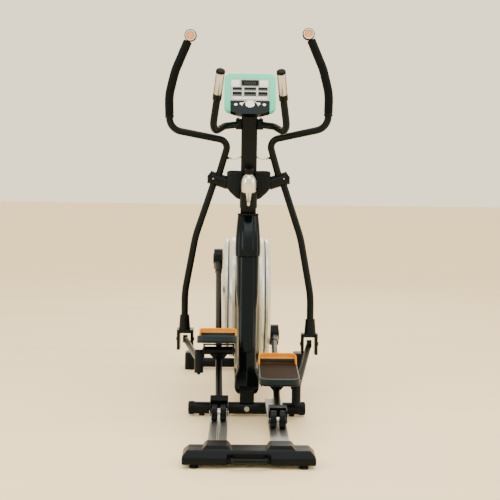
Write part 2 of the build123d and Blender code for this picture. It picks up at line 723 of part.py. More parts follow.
def arm_drift(sign, along):
    """The arm's sideways distance from the rail's centre line, at a distance from the axle."""
    return sign * (ARM_PIN_X - RAIL_X) * along / ARM_LENGTH


def roller_arm(side):
    sign = side["sign"]
    fork = None
    for x in (-33.2, 33.2):
        cheek = Pos(x, 24, 10) * Box(3.6, 72, 52)
        cheek = fillet(cheek.edges().filter_by(Axis.X), 10)
        fork = cheek if fork is None else fork + cheek
    fork += Pos(0, 44, 33) * Box(70, 34, 5)
    fork += Pos(0, 50, 10) * Box(64, 18, 44)
    fork -= Rot(0, 90, 0) * Cylinder(ROLLER_AXLE_R + RUNNING, 100)
    fork -= Rot(0, 90, 0) * Cylinder(ROLLER_R + 1.5, 63)
    start = Vector(arm_drift(sign, 45), 45, 0)
    end = Vector(arm_drift(sign, 1190), 1190, 0)
    tube = rod(start, end, ARM_TUBE_R) - rod(start, end, ARM_TUBE_R - 2.5)
    centre_x = arm_drift(sign, PEDAL_ALONG)
    gusset = Plane.XZ.offset(-PEDAL_ALONG - 20) * pull(
        Polygon((-13, -8), (13, -8), (40, 26), (-40, 26), align=None), 40)
    gusset = Pos(centre_x, 0, 0) * gusset
    sleeve = Pos(centre_x, PEDAL_ALONG, PEDAL_PIVOT_UP) * Rot(0, 90, 0) * Cylinder(17, 2 * CROSS_SLEEVE_HALF)
    bore = Pos(centre_x, PEDAL_ALONG, PEDAL_PIVOT_UP) * Rot(0, 90, 0) * Cylinder(PEDAL_PIN_R + RUNNING, 200)
    body = fork + tube + gusset + sleeve - bore
    inner = sign * (BIG_END_IN - RAIL_X)
    outer = sign * (BIG_END_OUT - RAIL_X)
    low, high = sorted((inner, outer))
    housing = rod(Vector(low, ARM_LENGTH, 0), Vector(high, ARM_LENGTH, 0), BIG_END_R)
    housing = fillet(housing.edges().filter_by(GeomType.CIRCLE), 4)
    centre = (low + high) / 2
    neck = loft([Plane(origin=(arm_drift(sign, 1110), 1110, 0), z_dir=(0, 1, 0)) * Circle(16.5),
                 Plane(origin=(centre, 1215, 0), z_dir=(0, 1, 0)) * Circle(21.8)], ruled=True)
    housing = housing + neck - rod(start, end, ARM_TUBE_R)
    return [placed_on_arm(side, body), placed_on_arm(side, housing)]


def pedal_pivot(side):
    local = Vector(0, PEDAL_ALONG, PEDAL_PIVOT_UP)
    tilt = radians(side["tilt"])
    y = local.Y * cos(tilt) - local.Z * sin(tilt)
    z = local.Y * sin(tilt) + local.Z * cos(tilt)
    centre = carriage_point(side) + Vector(0, y, z)
    return Vector(0, centre.Y, centre.Z)


def placed_on_pedal(side, shape):
    """Put a shape drawn in the pedal's frame (origin at its pivot, X from the machine's centre)."""
    return Pos(pedal_pivot(side)) * Rot(side["pedal"], 0, 0) * shape


def pedal_plan(inset, low, high, front_corner=30.0, rear_corner=36.0):
    """Plan of the pedal: a rectangle with larger rounds at the heel."""
    centre = (PEDAL_FRONT + PEDAL_BACK) / 2
    form = Pos(0, centre, low) * pull(
        Rectangle(2 * (PEDAL_HALF - inset), PEDAL_FRONT - PEDAL_BACK - 2 * inset), high - low)
    upright = form.edges().filter_by(Axis.Z).group_by(Axis.Y)
    form = fillet(upright[-1], front_corner - inset)
    upright = form.edges().filter_by(Axis.Z).group_by(Axis.Y)
    return fillet(upright[0], rear_corner - inset)


def pedal_centre(side, shape):
    return placed_on_pedal(side, Pos(side["sign"] * PEDAL_X, 0, 0) * shape)


def pedal_base(side):
    tray = pedal_plan(0, PEDAL_BOTTOM, PEDAL_TOP)
    tray -= pedal_plan(7, PEDAL_TOP - 5, PEDAL_TOP + 1)
    tray -= pedal_plan(5, PEDAL_BOTTOM - 1, PEDAL_TOP - 12)
    ribs = [Pos(x, (PEDAL_FRONT + PEDAL_BACK) / 2, PEDAL_TOP - 20) * Box(4, 284, 18) for x in (-40, 0, 40)]
    tray += (ribs[0] + ribs[1] + ribs[2]) & pedal_plan(3, PEDAL_BOTTOM, PEDAL_TOP - 10)
    nose = Polygon((PEDAL_FRONT - 34, PEDAL_BOTTOM - 4), (PEDAL_FRONT + 2, PEDAL_BOTTOM + 22),
                   (PEDAL_FRONT + 2, PEDAL_BOTTOM - 4), align=None)
    tray -= Plane.YZ.offset(-100) * pull(nose, 200)
    tray -= Pos(0, 0, PEDAL_BOTTOM) * Box(134, 94, 14)
    return pedal_centre(side, tray)


def tread_mat(side):
    mat = pedal_plan(7.5, PEDAL_TOP - 5, PEDAL_TOP - 1.2)
    mat -= Pos(0, PEDAL_FRONT - 21, PEDAL_TOP) * Box(200, 46, 20)
    for rib in range(-8, 9):
        mat -= Pos(rib * 8.0, -40, PEDAL_TOP - 1.2) * Box(3, 260, 1.6)
    return pedal_centre(side, mat)


def toe_guard(side):
    """Arched guard round the toes, higher at the front, running back along both edges."""
    wall = pedal_plan(1, PEDAL_TOP, PEDAL_TOP + 36)
    wall -= pedal_plan(7, PEDAL_TOP - 1, PEDAL_TOP + 50)
    profile = Polygon((PEDAL_FRONT - 76, PEDAL_TOP), (PEDAL_FRONT - 54, PEDAL_TOP + 18),
                      (PEDAL_FRONT - 26, PEDAL_TOP + 30), (PEDAL_FRONT + 2, PEDAL_TOP + 34),
                      (PEDAL_FRONT + 2, PEDAL_TOP), align=None)
    wall &= Plane.YZ.offset(-100) * pull(profile, 200)
    step = Pos(0, PEDAL_FRONT - 19, PEDAL_TOP + 4) * Box(2 * (PEDAL_HALF - 7), 26, 18)
    step = fillet(step.edges().filter_by(Axis.X).group_by(Axis.Z)[-1].sort_by(Axis.Y)[0], 8)
    step &= pedal_plan(7, PEDAL_TOP - 5, PEDAL_TOP + 20)
    return pedal_centre(side, wall + step)


def knuckle_point(side):
    """Where the link meets the swing arm at rest."""
    sign = side["sign"]
    neutral = at(sign * KNUCKLE_X, KNUCKLE_AHEAD, KNUCKLE_Z)
    return turn_point(neutral, pivot_point(sign), swing_axis(sign), side["swing"])


def pedal_link(side):
    """Pedal bracket with its pivot pin and upright post, and the link rod to the swing arm."""
    sign = side["sign"]
    centre_x = sign * RAIL_X + arm_drift(sign, PEDAL_ALONG)
    reach = CROSS_SLEEVE_HALF + GAP
    bracket = Pos(centre_x, 0, PEDAL_BOTTOM - 6) * Box(2 * reach + 12, 84, 6)
    for end in (-1, 1):
        cheek = Pos(centre_x + end * (reach + 3), 0, 3) * Box(6, 50, 50)
        cheek = fillet(cheek.edges().filter_by(Axis.X).group_by(Axis.Z)[0], 18)
        bracket += cheek
    bracket += Pos(centre_x, 0, 0) * Rot(0, 90, 0) * Cylinder(PEDAL_PIN_R, 2 * reach + 12)
    for end in (-1, 1):
        bracket += Pos(centre_x + end * (reach + 8), 0, 0) * Rot(0, 90, 0) * Cylinder(10, 4)
    post_x = sign * YAW_POST_X
    post = Pos(post_x, 0, -YAW_POST_DROP) * Cylinder(YAW_POST_R, YAW_POST_LENGTH)
    post -= Pos(post_x, 0, -YAW_POST_DROP) * (Cylinder(YAW_POST_R + 1, 1.2) - Cylinder(YAW_POST_R - 1, 1.2))
    post += Pos(post_x, 0, -YAW_POST_DROP - YAW_POST_LENGTH / 2 - 3.5) * Cylinder(7, 7)
    ear = Pos(sign * (abs(centre_x) + reach + 5), 0, -10) * Box(9.6, 34, 40)
    bracket = placed_on_pedal(side, bracket + ear + post)
    start = Plane(Pos(pedal_pivot(side)) * Rot(side["pedal"], 0, 0) * Pos(post_x, 0, -YAW_POST_DROP)).origin
    end = knuckle_point(side)
    along = (end - start).normalized()
    link = rod(start, end - along * 20, 13)
    link += Pos(end) * Rot(0, 90, 0) * Cylinder(18, 22)
    link -= placed_on_pedal(side, Pos(post_x, 0, -YAW_POST_DROP) * Cylinder(YAW_POST_R, YAW_POST_LENGTH))
    return [bracket, link]


# ---------------------------------------------------------------- swing arms
def swing_axis(sign):
    """Hinge direction; a positive turn moves the arm's foot forward on both sides."""
    return Vector(cos(radians(PIVOT_TILT)), 0, sign * sin(radians(PIVOT_TILT)))


LOWER_POINTS = [(291, 1130, 300), (291, 1130, 470), (243, 1130, 735), (153.5, 1122, 1004)]
UPPER_POINTS = [(142.5, 1119, 1003), (90, 1075, 1180), (351, 985, 1233), (353, 965, 1383),
                (325, 950, 1490), (269, 938, 1619)]
UPPER_RADII = [45, 65, 250, 250]
LOWER_RADII = [420, 420]
SOCKET_X = 91.0
GRIP_POINTS = [(351.9, 976.3, 1298.0), (353, 965, 1383), (325, 950, 1490), (269, 938, 1619)]
POD_CENTRE = (257, 933, 1643)
POD_BACK = 17.0
POD_FRONT = -15.0


def swing_turn(side, shape):
    """Mirror a right-hand shape for the left side, then swing it to its rest angle."""
    sign = side["sign"]
    if sign < 0:
        shape = mirrored(shape)
    axis = swing_axis(sign)
    centre = pivot_point(sign)
    return shape.rotate(Axis((centre.X, centre.Y, centre.Z), (axis.X, axis.Y, axis.Z)), side["swing"])


def right_points(points):
    return [at(x, ahead, z) for x, ahead, z in points]


def pod_rod(radius, low, high):
    x, ahead, z = POD_CENTRE
    return rod(at(x, ahead + low, z), at(x, ahead + high, z), radius)


def swing_arm(side):
    hub = rod(pivot_point(1, HUB_INNER), pivot_point(1, HUB_OUTER), HUB_R)
    core = rod(pivot_point(1, HUB_INNER - 1), pivot_point(1, HUB_OUTER + 1), SWING_PIN_R + RUNNING)
    bore = SWING_TUBE_R - SWING_WALL
    lower = bent(right_points(LOWER_POINTS), LOWER_RADII, SWING_TUBE_R, bore)
    upper = bent(right_points(UPPER_POINTS), UPPER_RADII, SWING_TUBE_R, bore)
    frame = lower + upper - pod_rod(POD_R, POD_FRONT, POD_BACK)
    frame = frame + hub - core
    frame += rod(at(111, 1101, 1101), at(SOCKET_X, 1101, 1101), 6)
    knuckle = block((249, 326), (KNUCKLE_AHEAD - 27, KNUCKLE_AHEAD + 27), (203, 298))
    knuckle = fillet(knuckle.edges().filter_by(Axis.Z), 8)
    knuckle += cone(at(291, KNUCKLE_AHEAD, 298), at(291, KNUCKLE_AHEAD, 362), 27, 22)
    slot_top = KNUCKLE_Z + 18 + 14
    knuckle -= block((262, 311), (1000, KNUCKLE_AHEAD + 40), (150, slot_top))
    knuckle -= rod(at(291, KNUCKLE_AHEAD, 300), at(291, KNUCKLE_AHEAD, 470), SWING_TUBE_R)
    for x, direction in ((249, -1), (326, 1)):
        knuckle += hexagon_head(at(x, KNUCKLE_AHEAD, KNUCKLE_Z), Vector(direction, 0, 0), 15, 4)
    return [swing_turn(side, frame), swing_turn(side, knuckle)]


def hand_grip(side):
    foam = bent(right_points(GRIP_POINTS), UPPER_RADII[2:], GRIP_R, SWING_TUBE_R)
    foam -= pod_rod(POD_R, POD_FRONT, POD_BACK)
    pod = pod_rod(POD_R, POD_FRONT, POD_BACK)
    pod = fillet(pod.edges().filter_by(GeomType.CIRCLE), 3)
    pod -= pod_rod(15 + GAP, POD_FRONT - 1, POD_FRONT + 7)
    return [swing_turn(side, foam), swing_turn(side, pod)]


def grip_button(side):
    return swing_turn(side, pod_rod(15, POD_FRONT - 2, POD_FRONT + 4))


CABLE_R = 2.0
CABLE_END_GAP = 1.0


def cable_points(side):
    """Short lead from the mast's flank, sagging a little, to the socket on the swing arm."""
    sign = side["sign"]
    socket = at(sign * (SOCKET_X - CABLE_END_GAP), 1101, 1101)
    socket = turn_point(socket, pivot_point(sign), swing_axis(sign), side["swing"])
    start = at(sign * (MAST_WIDTH / 2 + CABLE_END_GAP), 1096, 1104)
    points = [start]
    for share, sag in ((0.24, 4.0), (0.5, 9.0), (0.76, 4.5)):
        point = start + (socket - start) * share
        points.append(point - Vector(0, 0, sag))
    points.append(socket)
    return points


def corner_radii(points):
    """Each arc takes 0.45 of the shorter run beside it."""
    radii = []
    for before, corner, after in zip(points, points[1:], points[2:]):
        first, second = corner - before, after - corner
        half_turn = radians(first.get_angle(second)) / 2
        radii.append(0.45 * min(first.length, second.length) / tan(half_turn))
    return radii


def signal_cable(name, side):
    points = cable_points(side)
    radii = corner_radii(points)
    cable = bent(points, radii, CABLE_R)
    path = FilletPolyline(*points, radius=radii)
    area = pi * CABLE_R ** 2
    print(name, "radii", [round(r) for r in radii], "length", round(path.length, 1),
          "volume ratio", round(cable.volume / (area * path.length), 4))
    print(name, "points", [(round(p.X, 1), round(p.Y, 1), round(p.Z, 1)) for p in points])
    return cable


# ---------------------------------------------------------------- assembly
def add(name, pieces):
    parts[name] = pieces if isinstance(pieces, list) else [pieces]


def build():
    add("main_frame", main_frame())
    front = cross_rod(FRONT_TUBE_AHEAD, CROSS_TUBE_Z, CROSS_TUBE_R, -FRONT_TUBE_HALF, FRONT_TUBE_HALF)
    front -= cross_rod(FRONT_TUBE_AHEAD, CROSS_TUBE_Z, CROSS_TUBE_R - STEEL_WALL, -300, 300)
    add("front_stabiliser", front)
    add("transport_wheels", [transport_wheel(), mirrored(transport_wheel())])
    middle = cross_rod(MID_TUBE_AHEAD, CROSS_TUBE_Z, CROSS_TUBE_R, -MID_TUBE_HALF, MID_TUBE_HALF)
    middle -= cross_rod(MID_TUBE_AHEAD, CROSS_TUBE_Z, CROSS_TUBE_R - STEEL_WALL, -300, 300)
    add("mid_cross_tube", middle)
    caps = [front_end_cap(), mid_end_cap()]
    add("tube_end_caps", caps + [mirrored(cap) for cap in caps])
    add("floor_feet", floor_feet())
    inner_tube = block((-218, 218), (38, 78), (13, RAIL_BOTTOM))
    inner_tube -= block((-230, 230), (41, 75), (16, RAIL_BOTTOM - 3))
    for sign in (-1, 1):
        x = sign * REAR_FEET_X
        inner_tube += block((x - 16, x + 16), (6, 39), (13, 18))
    add("rear_stabiliser", inner_tube)
    add("rear_cover", rear_cover())
    handle = [at(-60, 14, 34), at(-60, -18, 34), at(60, -18, 34), at(60, 14, 34)]
    add("rear_handle", bent(handle, [13, 13], 7))
    add("slide_rails", [slide_rail(-RAIL_X), slide_rail(RAIL_X)])

    spine = spine_form(0)
    half = casing_half(spine)
    add("side_shell_right", half)
    add("side_shell_left", mirrored(half))
    add("spine_cover", spine_cover())
    add("mast_boot", mast_boot())
    add("cranks", cranks())
    add("crank_discs", [crank_disc(), mirrored(crank_disc())])
    add("drive_pulley", drive_pulley())
    add("flywheel", flywheel())
    add("drive_belt", drive_belt())
    add("drive_bearings", drive_bearings())
    add("brake_coil", brake_coil())

    mast = mast_piece(MAST_WIDTH, MAST_DEPTH, 12, MAST_FOOT_Z, MAST_TOP_Z)
    mast -= mast_piece(MAST_WIDTH - 2 * MAST_WALL, MAST_DEPTH - 2 * MAST_WALL, 9.5,
                       MAST_FOOT_Z - 5, MAST_TOP_Z + 5)
    add("mast", mast)
    add("pivot_axles", pivot_axles())
    add("yoke_cover", yoke_cover())
    add("bottle_holder", bottle_holder())
    add("bottle", bottle())
    add("hr_handlebar", hr_handlebar())
    add("hr_grips", hr_grips())
    add("hr_clamps", hr_clamps())

    add("console_shell", console_shell())
    add("console_face", console_face())
    add("console_display", console_display())
    add("button_panel", button_panel())
    for name, (x, y, half_wide, half_high) in BUTTONS.items():
        add(name, console_button(x, y, half_wide, half_high))

    for label, side in SIDES.items():
        add(f"roller_axle_{label}", roller_axle(side))
        add(f"rollers_{label}", rollers(side))
        add(f"roller_arm_{label}", roller_arm(side))
        add(f"pedal_base_{label}", pedal_base(side))
        add(f"tread_mat_{label}", tread_mat(side))
        add(f"toe_guard_{label}", toe_guard(side))
        add(f"pedal_link_{label}", pedal_link(side))
        add(f"swing_arm_{label}", swing_arm(side))
        add(f"hand_grip_{label}", hand_grip(side))
        add(f"grip_button_{label}", grip_button(side))
        add(f"signal_cable_{label}", signal_cable(label, side))


def write():
    os.makedirs("parts", exist_ok=True)
    for name, pieces in parts.items():
        solids = [solid for piece in pieces for solid in piece.solids()]
        shape = solids[0] if len(solids) == 1 else Compound(children=solids)
        export_step(shape, f"parts/{name}.step")
    print(len(parts), "nodes written")


build()
write()
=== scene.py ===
import json
import math

import bmesh
import bpy
from mathutils import Matrix, Vector, noise


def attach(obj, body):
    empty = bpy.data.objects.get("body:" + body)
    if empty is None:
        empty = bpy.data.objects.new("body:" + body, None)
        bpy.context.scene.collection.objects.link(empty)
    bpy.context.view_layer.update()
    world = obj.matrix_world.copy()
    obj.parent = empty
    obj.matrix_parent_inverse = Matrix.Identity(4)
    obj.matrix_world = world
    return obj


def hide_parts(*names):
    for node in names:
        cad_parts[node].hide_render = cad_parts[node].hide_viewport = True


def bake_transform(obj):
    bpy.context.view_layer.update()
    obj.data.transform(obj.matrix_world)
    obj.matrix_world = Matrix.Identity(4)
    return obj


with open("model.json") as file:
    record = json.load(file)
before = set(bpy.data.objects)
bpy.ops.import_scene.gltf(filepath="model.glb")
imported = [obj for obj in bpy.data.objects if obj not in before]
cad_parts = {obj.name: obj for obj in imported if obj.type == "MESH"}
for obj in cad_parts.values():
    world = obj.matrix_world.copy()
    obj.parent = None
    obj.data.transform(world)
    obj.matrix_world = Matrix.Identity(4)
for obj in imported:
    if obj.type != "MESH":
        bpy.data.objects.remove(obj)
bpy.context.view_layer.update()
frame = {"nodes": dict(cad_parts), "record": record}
NODES = frame["nodes"]

REAR_Y = -0.917
SIDES = {"left": (-1, 5.07), "right": (1, -1.51)}


# ---------------------------------------------------------------- materials
def new_material(name):
    material = bpy.data.materials.new(name)
    material.use_nodes = True
    tree = material.node_tree
    tree.nodes.clear()
    out = tree.nodes.new("ShaderNodeOutputMaterial")
    shader = tree.nodes.new("ShaderNodeBsdfPrincipled")
    tree.links.new(shader.outputs[0], out.inputs[0])
    return material, tree, shader


def noise_node(tree, scale, detail=3.0, stretch=(1, 1, 1)):
    coords = tree.nodes.new("ShaderNodeTexCoord")
    mapping = tree.nodes.new("ShaderNodeMapping")
    mapping.inputs["Scale"].default_value = stretch
    texture = tree.nodes.new("ShaderNodeTexNoise")
    texture.inputs["Scale"].default_value = scale
    texture.inputs["Detail"].default_value = detail
    tree.links.new(coords.outputs["Object"], mapping.inputs[0])
    tree.links.new(mapping.outputs[0], texture.inputs["Vector"])
    return texture


def finish(name, colour, rough=0.5, metallic=0.0, coat=0.0, specular=0.5, vary=0.12, patch=9.0,
           rough_spread=0.10, grain=350.0, bump=0.0, stretch=(1, 1, 1), fleck=None, sheen=0.0):
    """A surface whose colour, gloss and relief all vary a little from place to place."""
    material, tree, shader = new_material(name)
    colours = tree.nodes.new("ShaderNodeValToRGB")
    low, high = colours.color_ramp.elements
    low.position, high.position = 0.30, 0.72
    low.color = [c * (1 - vary) for c in colour] + [1]
    high.color = [min(c * (1 + vary), 1) for c in colour] + [1]
    if fleck:
        extra = colours.color_ramp.elements.new(0.80)
        extra.color = list(fleck) + [1]
    tree.links.new(noise_node(tree, patch, 6.0, stretch).outputs["Fac"], colours.inputs[0])
    tree.links.new(colours.outputs[0], shader.inputs["Base Color"])
    spread = tree.nodes.new("ShaderNodeMapRange")
    spread.inputs["To Min"].default_value = max(rough - rough_spread, 0.02)
    spread.inputs["To Max"].default_value = min(rough + rough_spread, 1.0)
    tree.links.new(noise_node(tree, patch * 4, 8.0, stretch).outputs["Fac"], spread.inputs["Value"])
    tree.links.new(spread.outputs[0], shader.inputs["Roughness"])
    if bump:
        relief = tree.nodes.new("ShaderNodeBump")
        relief.inputs["Strength"].default_value = bump
        relief.inputs["Distance"].default_value = 0.0006
        tree.links.new(noise_node(tree, grain, 3.0, stretch).outputs["Fac"], relief.inputs["Height"])
        tree.links.new(relief.outputs[0], shader.inputs["Normal"])
    shader.inputs["Metallic"].default_value = metallic
    shader.inputs["Coat Weight"].default_value = coat
    shader.inputs["Coat Roughness"].default_value = 0.08
    shader.inputs["Specular IOR Level"].default_value = specular
    shader.inputs["Sheen Weight"].default_value = sheen
    return material


M = {
    "dark_steel": finish("powder_coat", (0.0026, 0.0038, 0.0048), 0.30, 0.0, 0.0, 0.13, 0.18, 14, 0.07, 900,
                         0.18),
    "black_plastic": finish("moulded_black", (0.0020, 0.0028, 0.0036), 0.34, 0, 0.0, 0.12, 0.2, 10, 0.08,
                            1400, 0.30),
    "slate_plastic": finish("moulded_slate", (0.009, 0.016, 0.022), 0.38, 0, 0.0, 0.16, 0.15, 12, 0.08,
                            1300, 0.28),
    "rubber": finish("rubber", (0.004, 0.004, 0.0045), 0.72, 0, 0, 0.2, 0.2, 20, 0.1, 900, 0.4),
    "rail_aluminium": finish("anodised_rail", (0.50, 0.52, 0.54), 0.33, 1.0, 0, 0.5, 0.10, 30, 0.08, 500,
                             0.15,
                             (8, 0.25, 8)),
    "silver_plastic": finish("silver_metallic", (0.60, 0.63, 0.63), 0.30, 0.55, 0.0, 0.4, 0.05, 6, 0.05,
                             2600, 0.10),
    "gloss_black": finish("gloss_black", (0.0014, 0.0024, 0.0032), 0.17, 0, 0.0, 0.15, 0.2, 6, 0.05, 300,
                          0.03),
    "cast_iron": finish("cast_iron", (0.12, 0.12, 0.125), 0.45, 0.9, 0, 0.5, 0.25, 30, 0.1, 700, 0.4),
    "bright_steel": finish("brushed_steel", (0.55, 0.56, 0.57), 0.26, 1.0, 0, 0.5, 0.08, 25, 0.07, 600, 0.12,
                           (6, 6, 0.5)),
    "hub_steel": finish("hub_paint", (0.004, 0.0058, 0.0056), 0.28, 0.0, 0.0, 0.15, 0.2, 20, 0.08, 900, 0.15),
    "bottle_aluminium": finish("bottle_metal", (0.60, 0.61, 0.63), 0.24, 0.9, 0.2, 0.5, 0.08, 18, 0.05, 800,
                               0.08,
                               (6, 6, 0.4)),
    "mint_plastic": finish("mint_gloss", (0.035, 0.60, 0.40), 0.32, 0, 0.0, 0.4, 0.04, 6, 0.05, 700, 0.05),
    "display_glass": finish("display_window", (0.0040, 0.0075, 0.0065), 0.22, 0, 0.0, 0.05, 0.25, 40, 0.03,
                            500, 0.02),
    "white_plastic": finish("white_keys", (0.80, 0.83, 0.86), 0.30, 0, 0.3, 0.5, 0.04, 40, 0.05, 900, 0.06),
    "brown_rubber": finish("tread_rubber", (0.016, 0.0078, 0.0042), 0.62, 0, 0, 0.08, 0.30, 45, 0.1, 800,
                           0.5),
    "orange_plastic": finish("orange_moulding", (0.62, 0.225, 0.0), 0.60, 0, 0.0, 0.05, 0.08, 14, 0.08,
                             1100, 0.25),
    "foam": finish("grip_foam", (0.0022, 0.0026, 0.0032), 0.62, 0, 0, 0.09, 0.35, 60, 0.1, 1500, 0.6),
    "peach_plastic": finish("peach_key", (0.74, 0.25, 0.075), 0.30, 0, 0.4, 0.5, 0.06, 60, 0.05, 900, 0.06),
    "pale_cable": finish("pale_sheath", (0.48, 0.44, 0.34), 0.42, 0, 0.1, 0.45, 0.08, 80, 0.08, 900, 0.1),
    "chrome": finish("chrome_trim", (0.70, 0.71, 0.72), 0.12, 1.0, 0, 0.5, 0.05, 40, 0.05, 800, 0.04),
    "grey_print_and_rim_highlight": finish("grey_print_and_rim_highlight", (0.075, 0.090, 0.092), 0.45, 0, 0, 0.15, 0.08, 60, 0.06, 900, 0.05),
    "light_print": finish("light_print", (0.66, 0.70, 0.71), 0.38, 0, 0.1, 0.4, 0.05, 60, 0.06, 900, 0.05),
    "brown_strip": finish("sleeve_strip", (0.060, 0.034, 0.022), 0.45, 0, 0.1, 0.5, 0.2, 60, 0.08, 900, 0.2),
    "zinc": finish("zinc_bolt", (0.42, 0.43, 0.43), 0.34, 1.0, 0, 0.5, 0.15, 120, 0.12, 900, 0.2),
}
M["face_silver"] = finish("face_silver", (0.30, 0.32, 0.33), 0.34, 0.30, 0.0, 0.3, 0.08, 9, 0.05, 1500, 0.06)

# The dark parts reflect a little blue, as they do under cool room light.
COOL_TINT = (0.72, 0.88, 1.0, 1)
COOL = ("dark_steel", "black_plastic", "slate_plastic", "gloss_black", "hub_steel", "display_glass", "foam")
for cool in COOL:
    M[cool].node_tree.nodes["Principled BSDF"].inputs["Specular Tint"].default_value = COOL_TINT

SLOT_OF = {part["node"]: part["material_slot"] for part in frame["record"]["subparts"]}
for node, obj in NODES.items():
    obj.data.materials.clear()
    obj.data.materials.append(M[SLOT_OF[node]])
SPECIAL = {"pivot_axles": "hub_steel", "drive_belt": "rubber", "console_face": "face_silver"}
for node, key in SPECIAL.items():
    NODES[node].data.materials[0] = M[key]


# ---------------------------------------------------------------- building helpers
def at(x, ahead, z):
    """Millimetres (x, distance ahead of the rear face, height) to the frame's metres."""
    return Vector((x / 1000, REAR_Y + ahead / 1000, z / 1000))


def piece(name, mesh, body, *materials):
    obj = bpy.data.objects.new(name, mesh)
    bpy.context.scene.collection.objects.link(obj)
    for key in materials:
        mesh.materials.append(M[key])
    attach(obj, body)
    return obj


def smooth(mesh, angle=35):
    for polygon in mesh.polygons:
        polygon.use_smooth = True
    mesh.set_sharp_from_angle(angle=math.radians(angle))


def frame_of(origin, axis, across=None):
    """Matrix whose Z runs along axis."""
    z = Vector(axis).normalized()
    x = Vector(across) if across else (Vector((1, 0, 0)) if abs(z.x) < 0.9 else Vector((0, 1, 0)))
    x = (x - z * x.dot(z)).normalized()
    y = z.cross(x)
    return Matrix.Translation(origin) @ Matrix((x, y, z)).transposed().to_4x4()


def lathe(outline, matrix, steps=64, closed=True):
    """Turned mesh about local Z from (radius, z) points in millimetres."""
    bm = bmesh.new()
    rings = []
    for radius, z in outline:
        ring = []
        for k in range(steps):
            a = 2 * math.pi * k / steps
            ring.append(bm.verts.new((radius / 1000 * math.cos(a), radius / 1000 * math.sin(a), z / 1000)))
        rings.append(ring)
    pairs = list(zip(rings, rings[1:]))
    if closed:
        pairs.append((rings[-1], rings[0]))
    for low, high in pairs:
        for k in range(steps):
            bm.faces.new((low[k], low[(k + 1) % steps], high[(k + 1) % steps], high[k]))
    bmesh.ops.remove_doubles(bm, verts=bm.verts, dist=1e-6)
    bmesh.ops.transform(bm, matrix=matrix, verts=bm.verts)
    bmesh.ops.recalc_face_normals(bm, faces=bm.faces)
    mesh = bpy.data.meshes.new("turned")
    bm.to_mesh(mesh)
    bm.free()
    smooth(mesh)
    return mesh


def rounded_outline(width, height, corner, steps=6):
    points = []
    for sx, sy, start in ((1, 1, 0), (-1, 1, 90), (-1, -1, 180), (1, -1, 270)):
        for k in range(steps + 1):
            a = math.radians(start + 90 * k / steps)
            points.append((sx * (width / 2 - corner) + corner * math.cos(a),
                           sy * (height / 2 - corner) + corner * math.sin(a)))
    return points


def raised_plate(outline, low, high, edge, matrix):
    """Closed plate from a flat outline in millimetres, with a rounded upper edge."""
    bm = bmesh.new()
    cx = sum(p[0] for p in outline) / len(outline)
    cy = sum(p[1] for p in outline) / len(outline)
    half = max(max(abs(p[0] - cx) for p in outline), 0.01)
    tall = max(max(abs(p[1] - cy) for p in outline), 0.01)
    rings = []
    for inset, z in ((0, low), (0, high - edge), (0.3 * edge, high - 0.3 * edge), (edge, high)):
        kx, ky = 1 - inset / half, 1 - inset / tall
        rings.append([bm.verts.new(((cx + (x - cx) * kx) / 1000, (cy + (y - cy) * ky) / 1000, z / 1000))
                      for x, y in outline])
    count = len(outline)
    for below, above in zip(rings, rings[1:]):
        for k in range(count):
            bm.faces.new((below[k], below[(k + 1) % count], above[(k + 1) % count], above[k]))
    bm.faces.new(rings[-1])
    bm.faces.new(list(reversed(rings[0])))
    bmesh.ops.transform(bm, matrix=matrix, verts=bm.verts)
    bmesh.ops.recalc_face_normals(bm, faces=bm.faces)
    mesh = bpy.data.meshes.new("plate")
    bm.to_mesh(mesh)
    bm.free()
    smooth(mesh)
    return mesh


def join_meshes(name, meshes):
    bm = bmesh.new()
    for mesh in meshes:
        bm.from_mesh(mesh)
    joined = bpy.data.meshes.new(name)
    bm.to_mesh(joined)
    bm.free()
    smooth(joined)
    return joined


def loose_parts(node):
    """Copies of the separate solids in a CAD node's mesh, each with its centre."""
    source = bmesh.new()
    source.from_mesh(NODES[node].data)
    bmesh.ops.remove_doubles(source, verts=source.verts, dist=1e-6)
    source.verts.ensure_lookup_table()
    seen, found = set(), []
    for start in source.verts:
        if start.index in seen:
            continue
        stack, group = [start], []
        seen.add(start.index)
        while stack:
            vert = stack.pop()
            group.append(vert)
            for edge in vert.link_edges:
                other = edge.other_vert(vert)
                if other.index not in seen:
                    seen.add(other.index)
                    stack.append(other)
        faces = {face for vert in group for face in vert.link_faces}
        number = {vert.index: k for k, vert in enumerate(group)}
        mesh = bpy.data.meshes.new(node + "_solid")
        mesh.from_pydata([vert.co.copy() for vert in group], [],
                         [[number[vert.index] for vert in face.verts] for face in faces])
        smooth(mesh)
        centre = sum((vert.co for vert in group), Vector()) / len(group)
        found.append((centre, mesh))
    source.free()
    return found


def swing_matrix(side):
    """From the right-hand arm at its upright position to this side's rest position."""
    sign, angle = SIDES[side]
    tilt = math.radians(18)
    axis = Vector((math.cos(tilt), 0, sign * math.sin(tilt)))
    pivot = at(sign * 142.5, 1120, 1000)
    turn = Matrix.Translation(pivot) @ Matrix.Rotation(math.radians(angle), 4,
                                                       axis) @ Matrix.Translation(-pivot)
    return turn @ Matrix.Scale(sign, 4, (1, 0, 0))


def placed(mesh, matrix):
    mesh.transform(matrix)
    if matrix.determinant() < 0:
        mesh.flip_normals()
    return mesh


def bolt(origin, axis, across=13.0, height=5.0, washer=True):
    """Hexagon head with a washer and a chamfered top."""
    matrix = frame_of(origin, axis)
    outline = []
    for k in range(6):
        a = math.radians(60 * k)
        outline.append((across / math.sqrt(3) * math.cos(a), across / math.sqrt(3) * math.sin(a)))
    meshes = [raised_plate(outline, 1.0, 1.0 + height, 0.9, matrix)]
    if washer:
        meshes.append(lathe([(0, 0), (across * 0.85, 0), (across * 0.9, 0.5), (across * 0.85, 1.2), (0, 1.2)],
                            matrix, 40))
    return join_meshes("bolt", meshes)


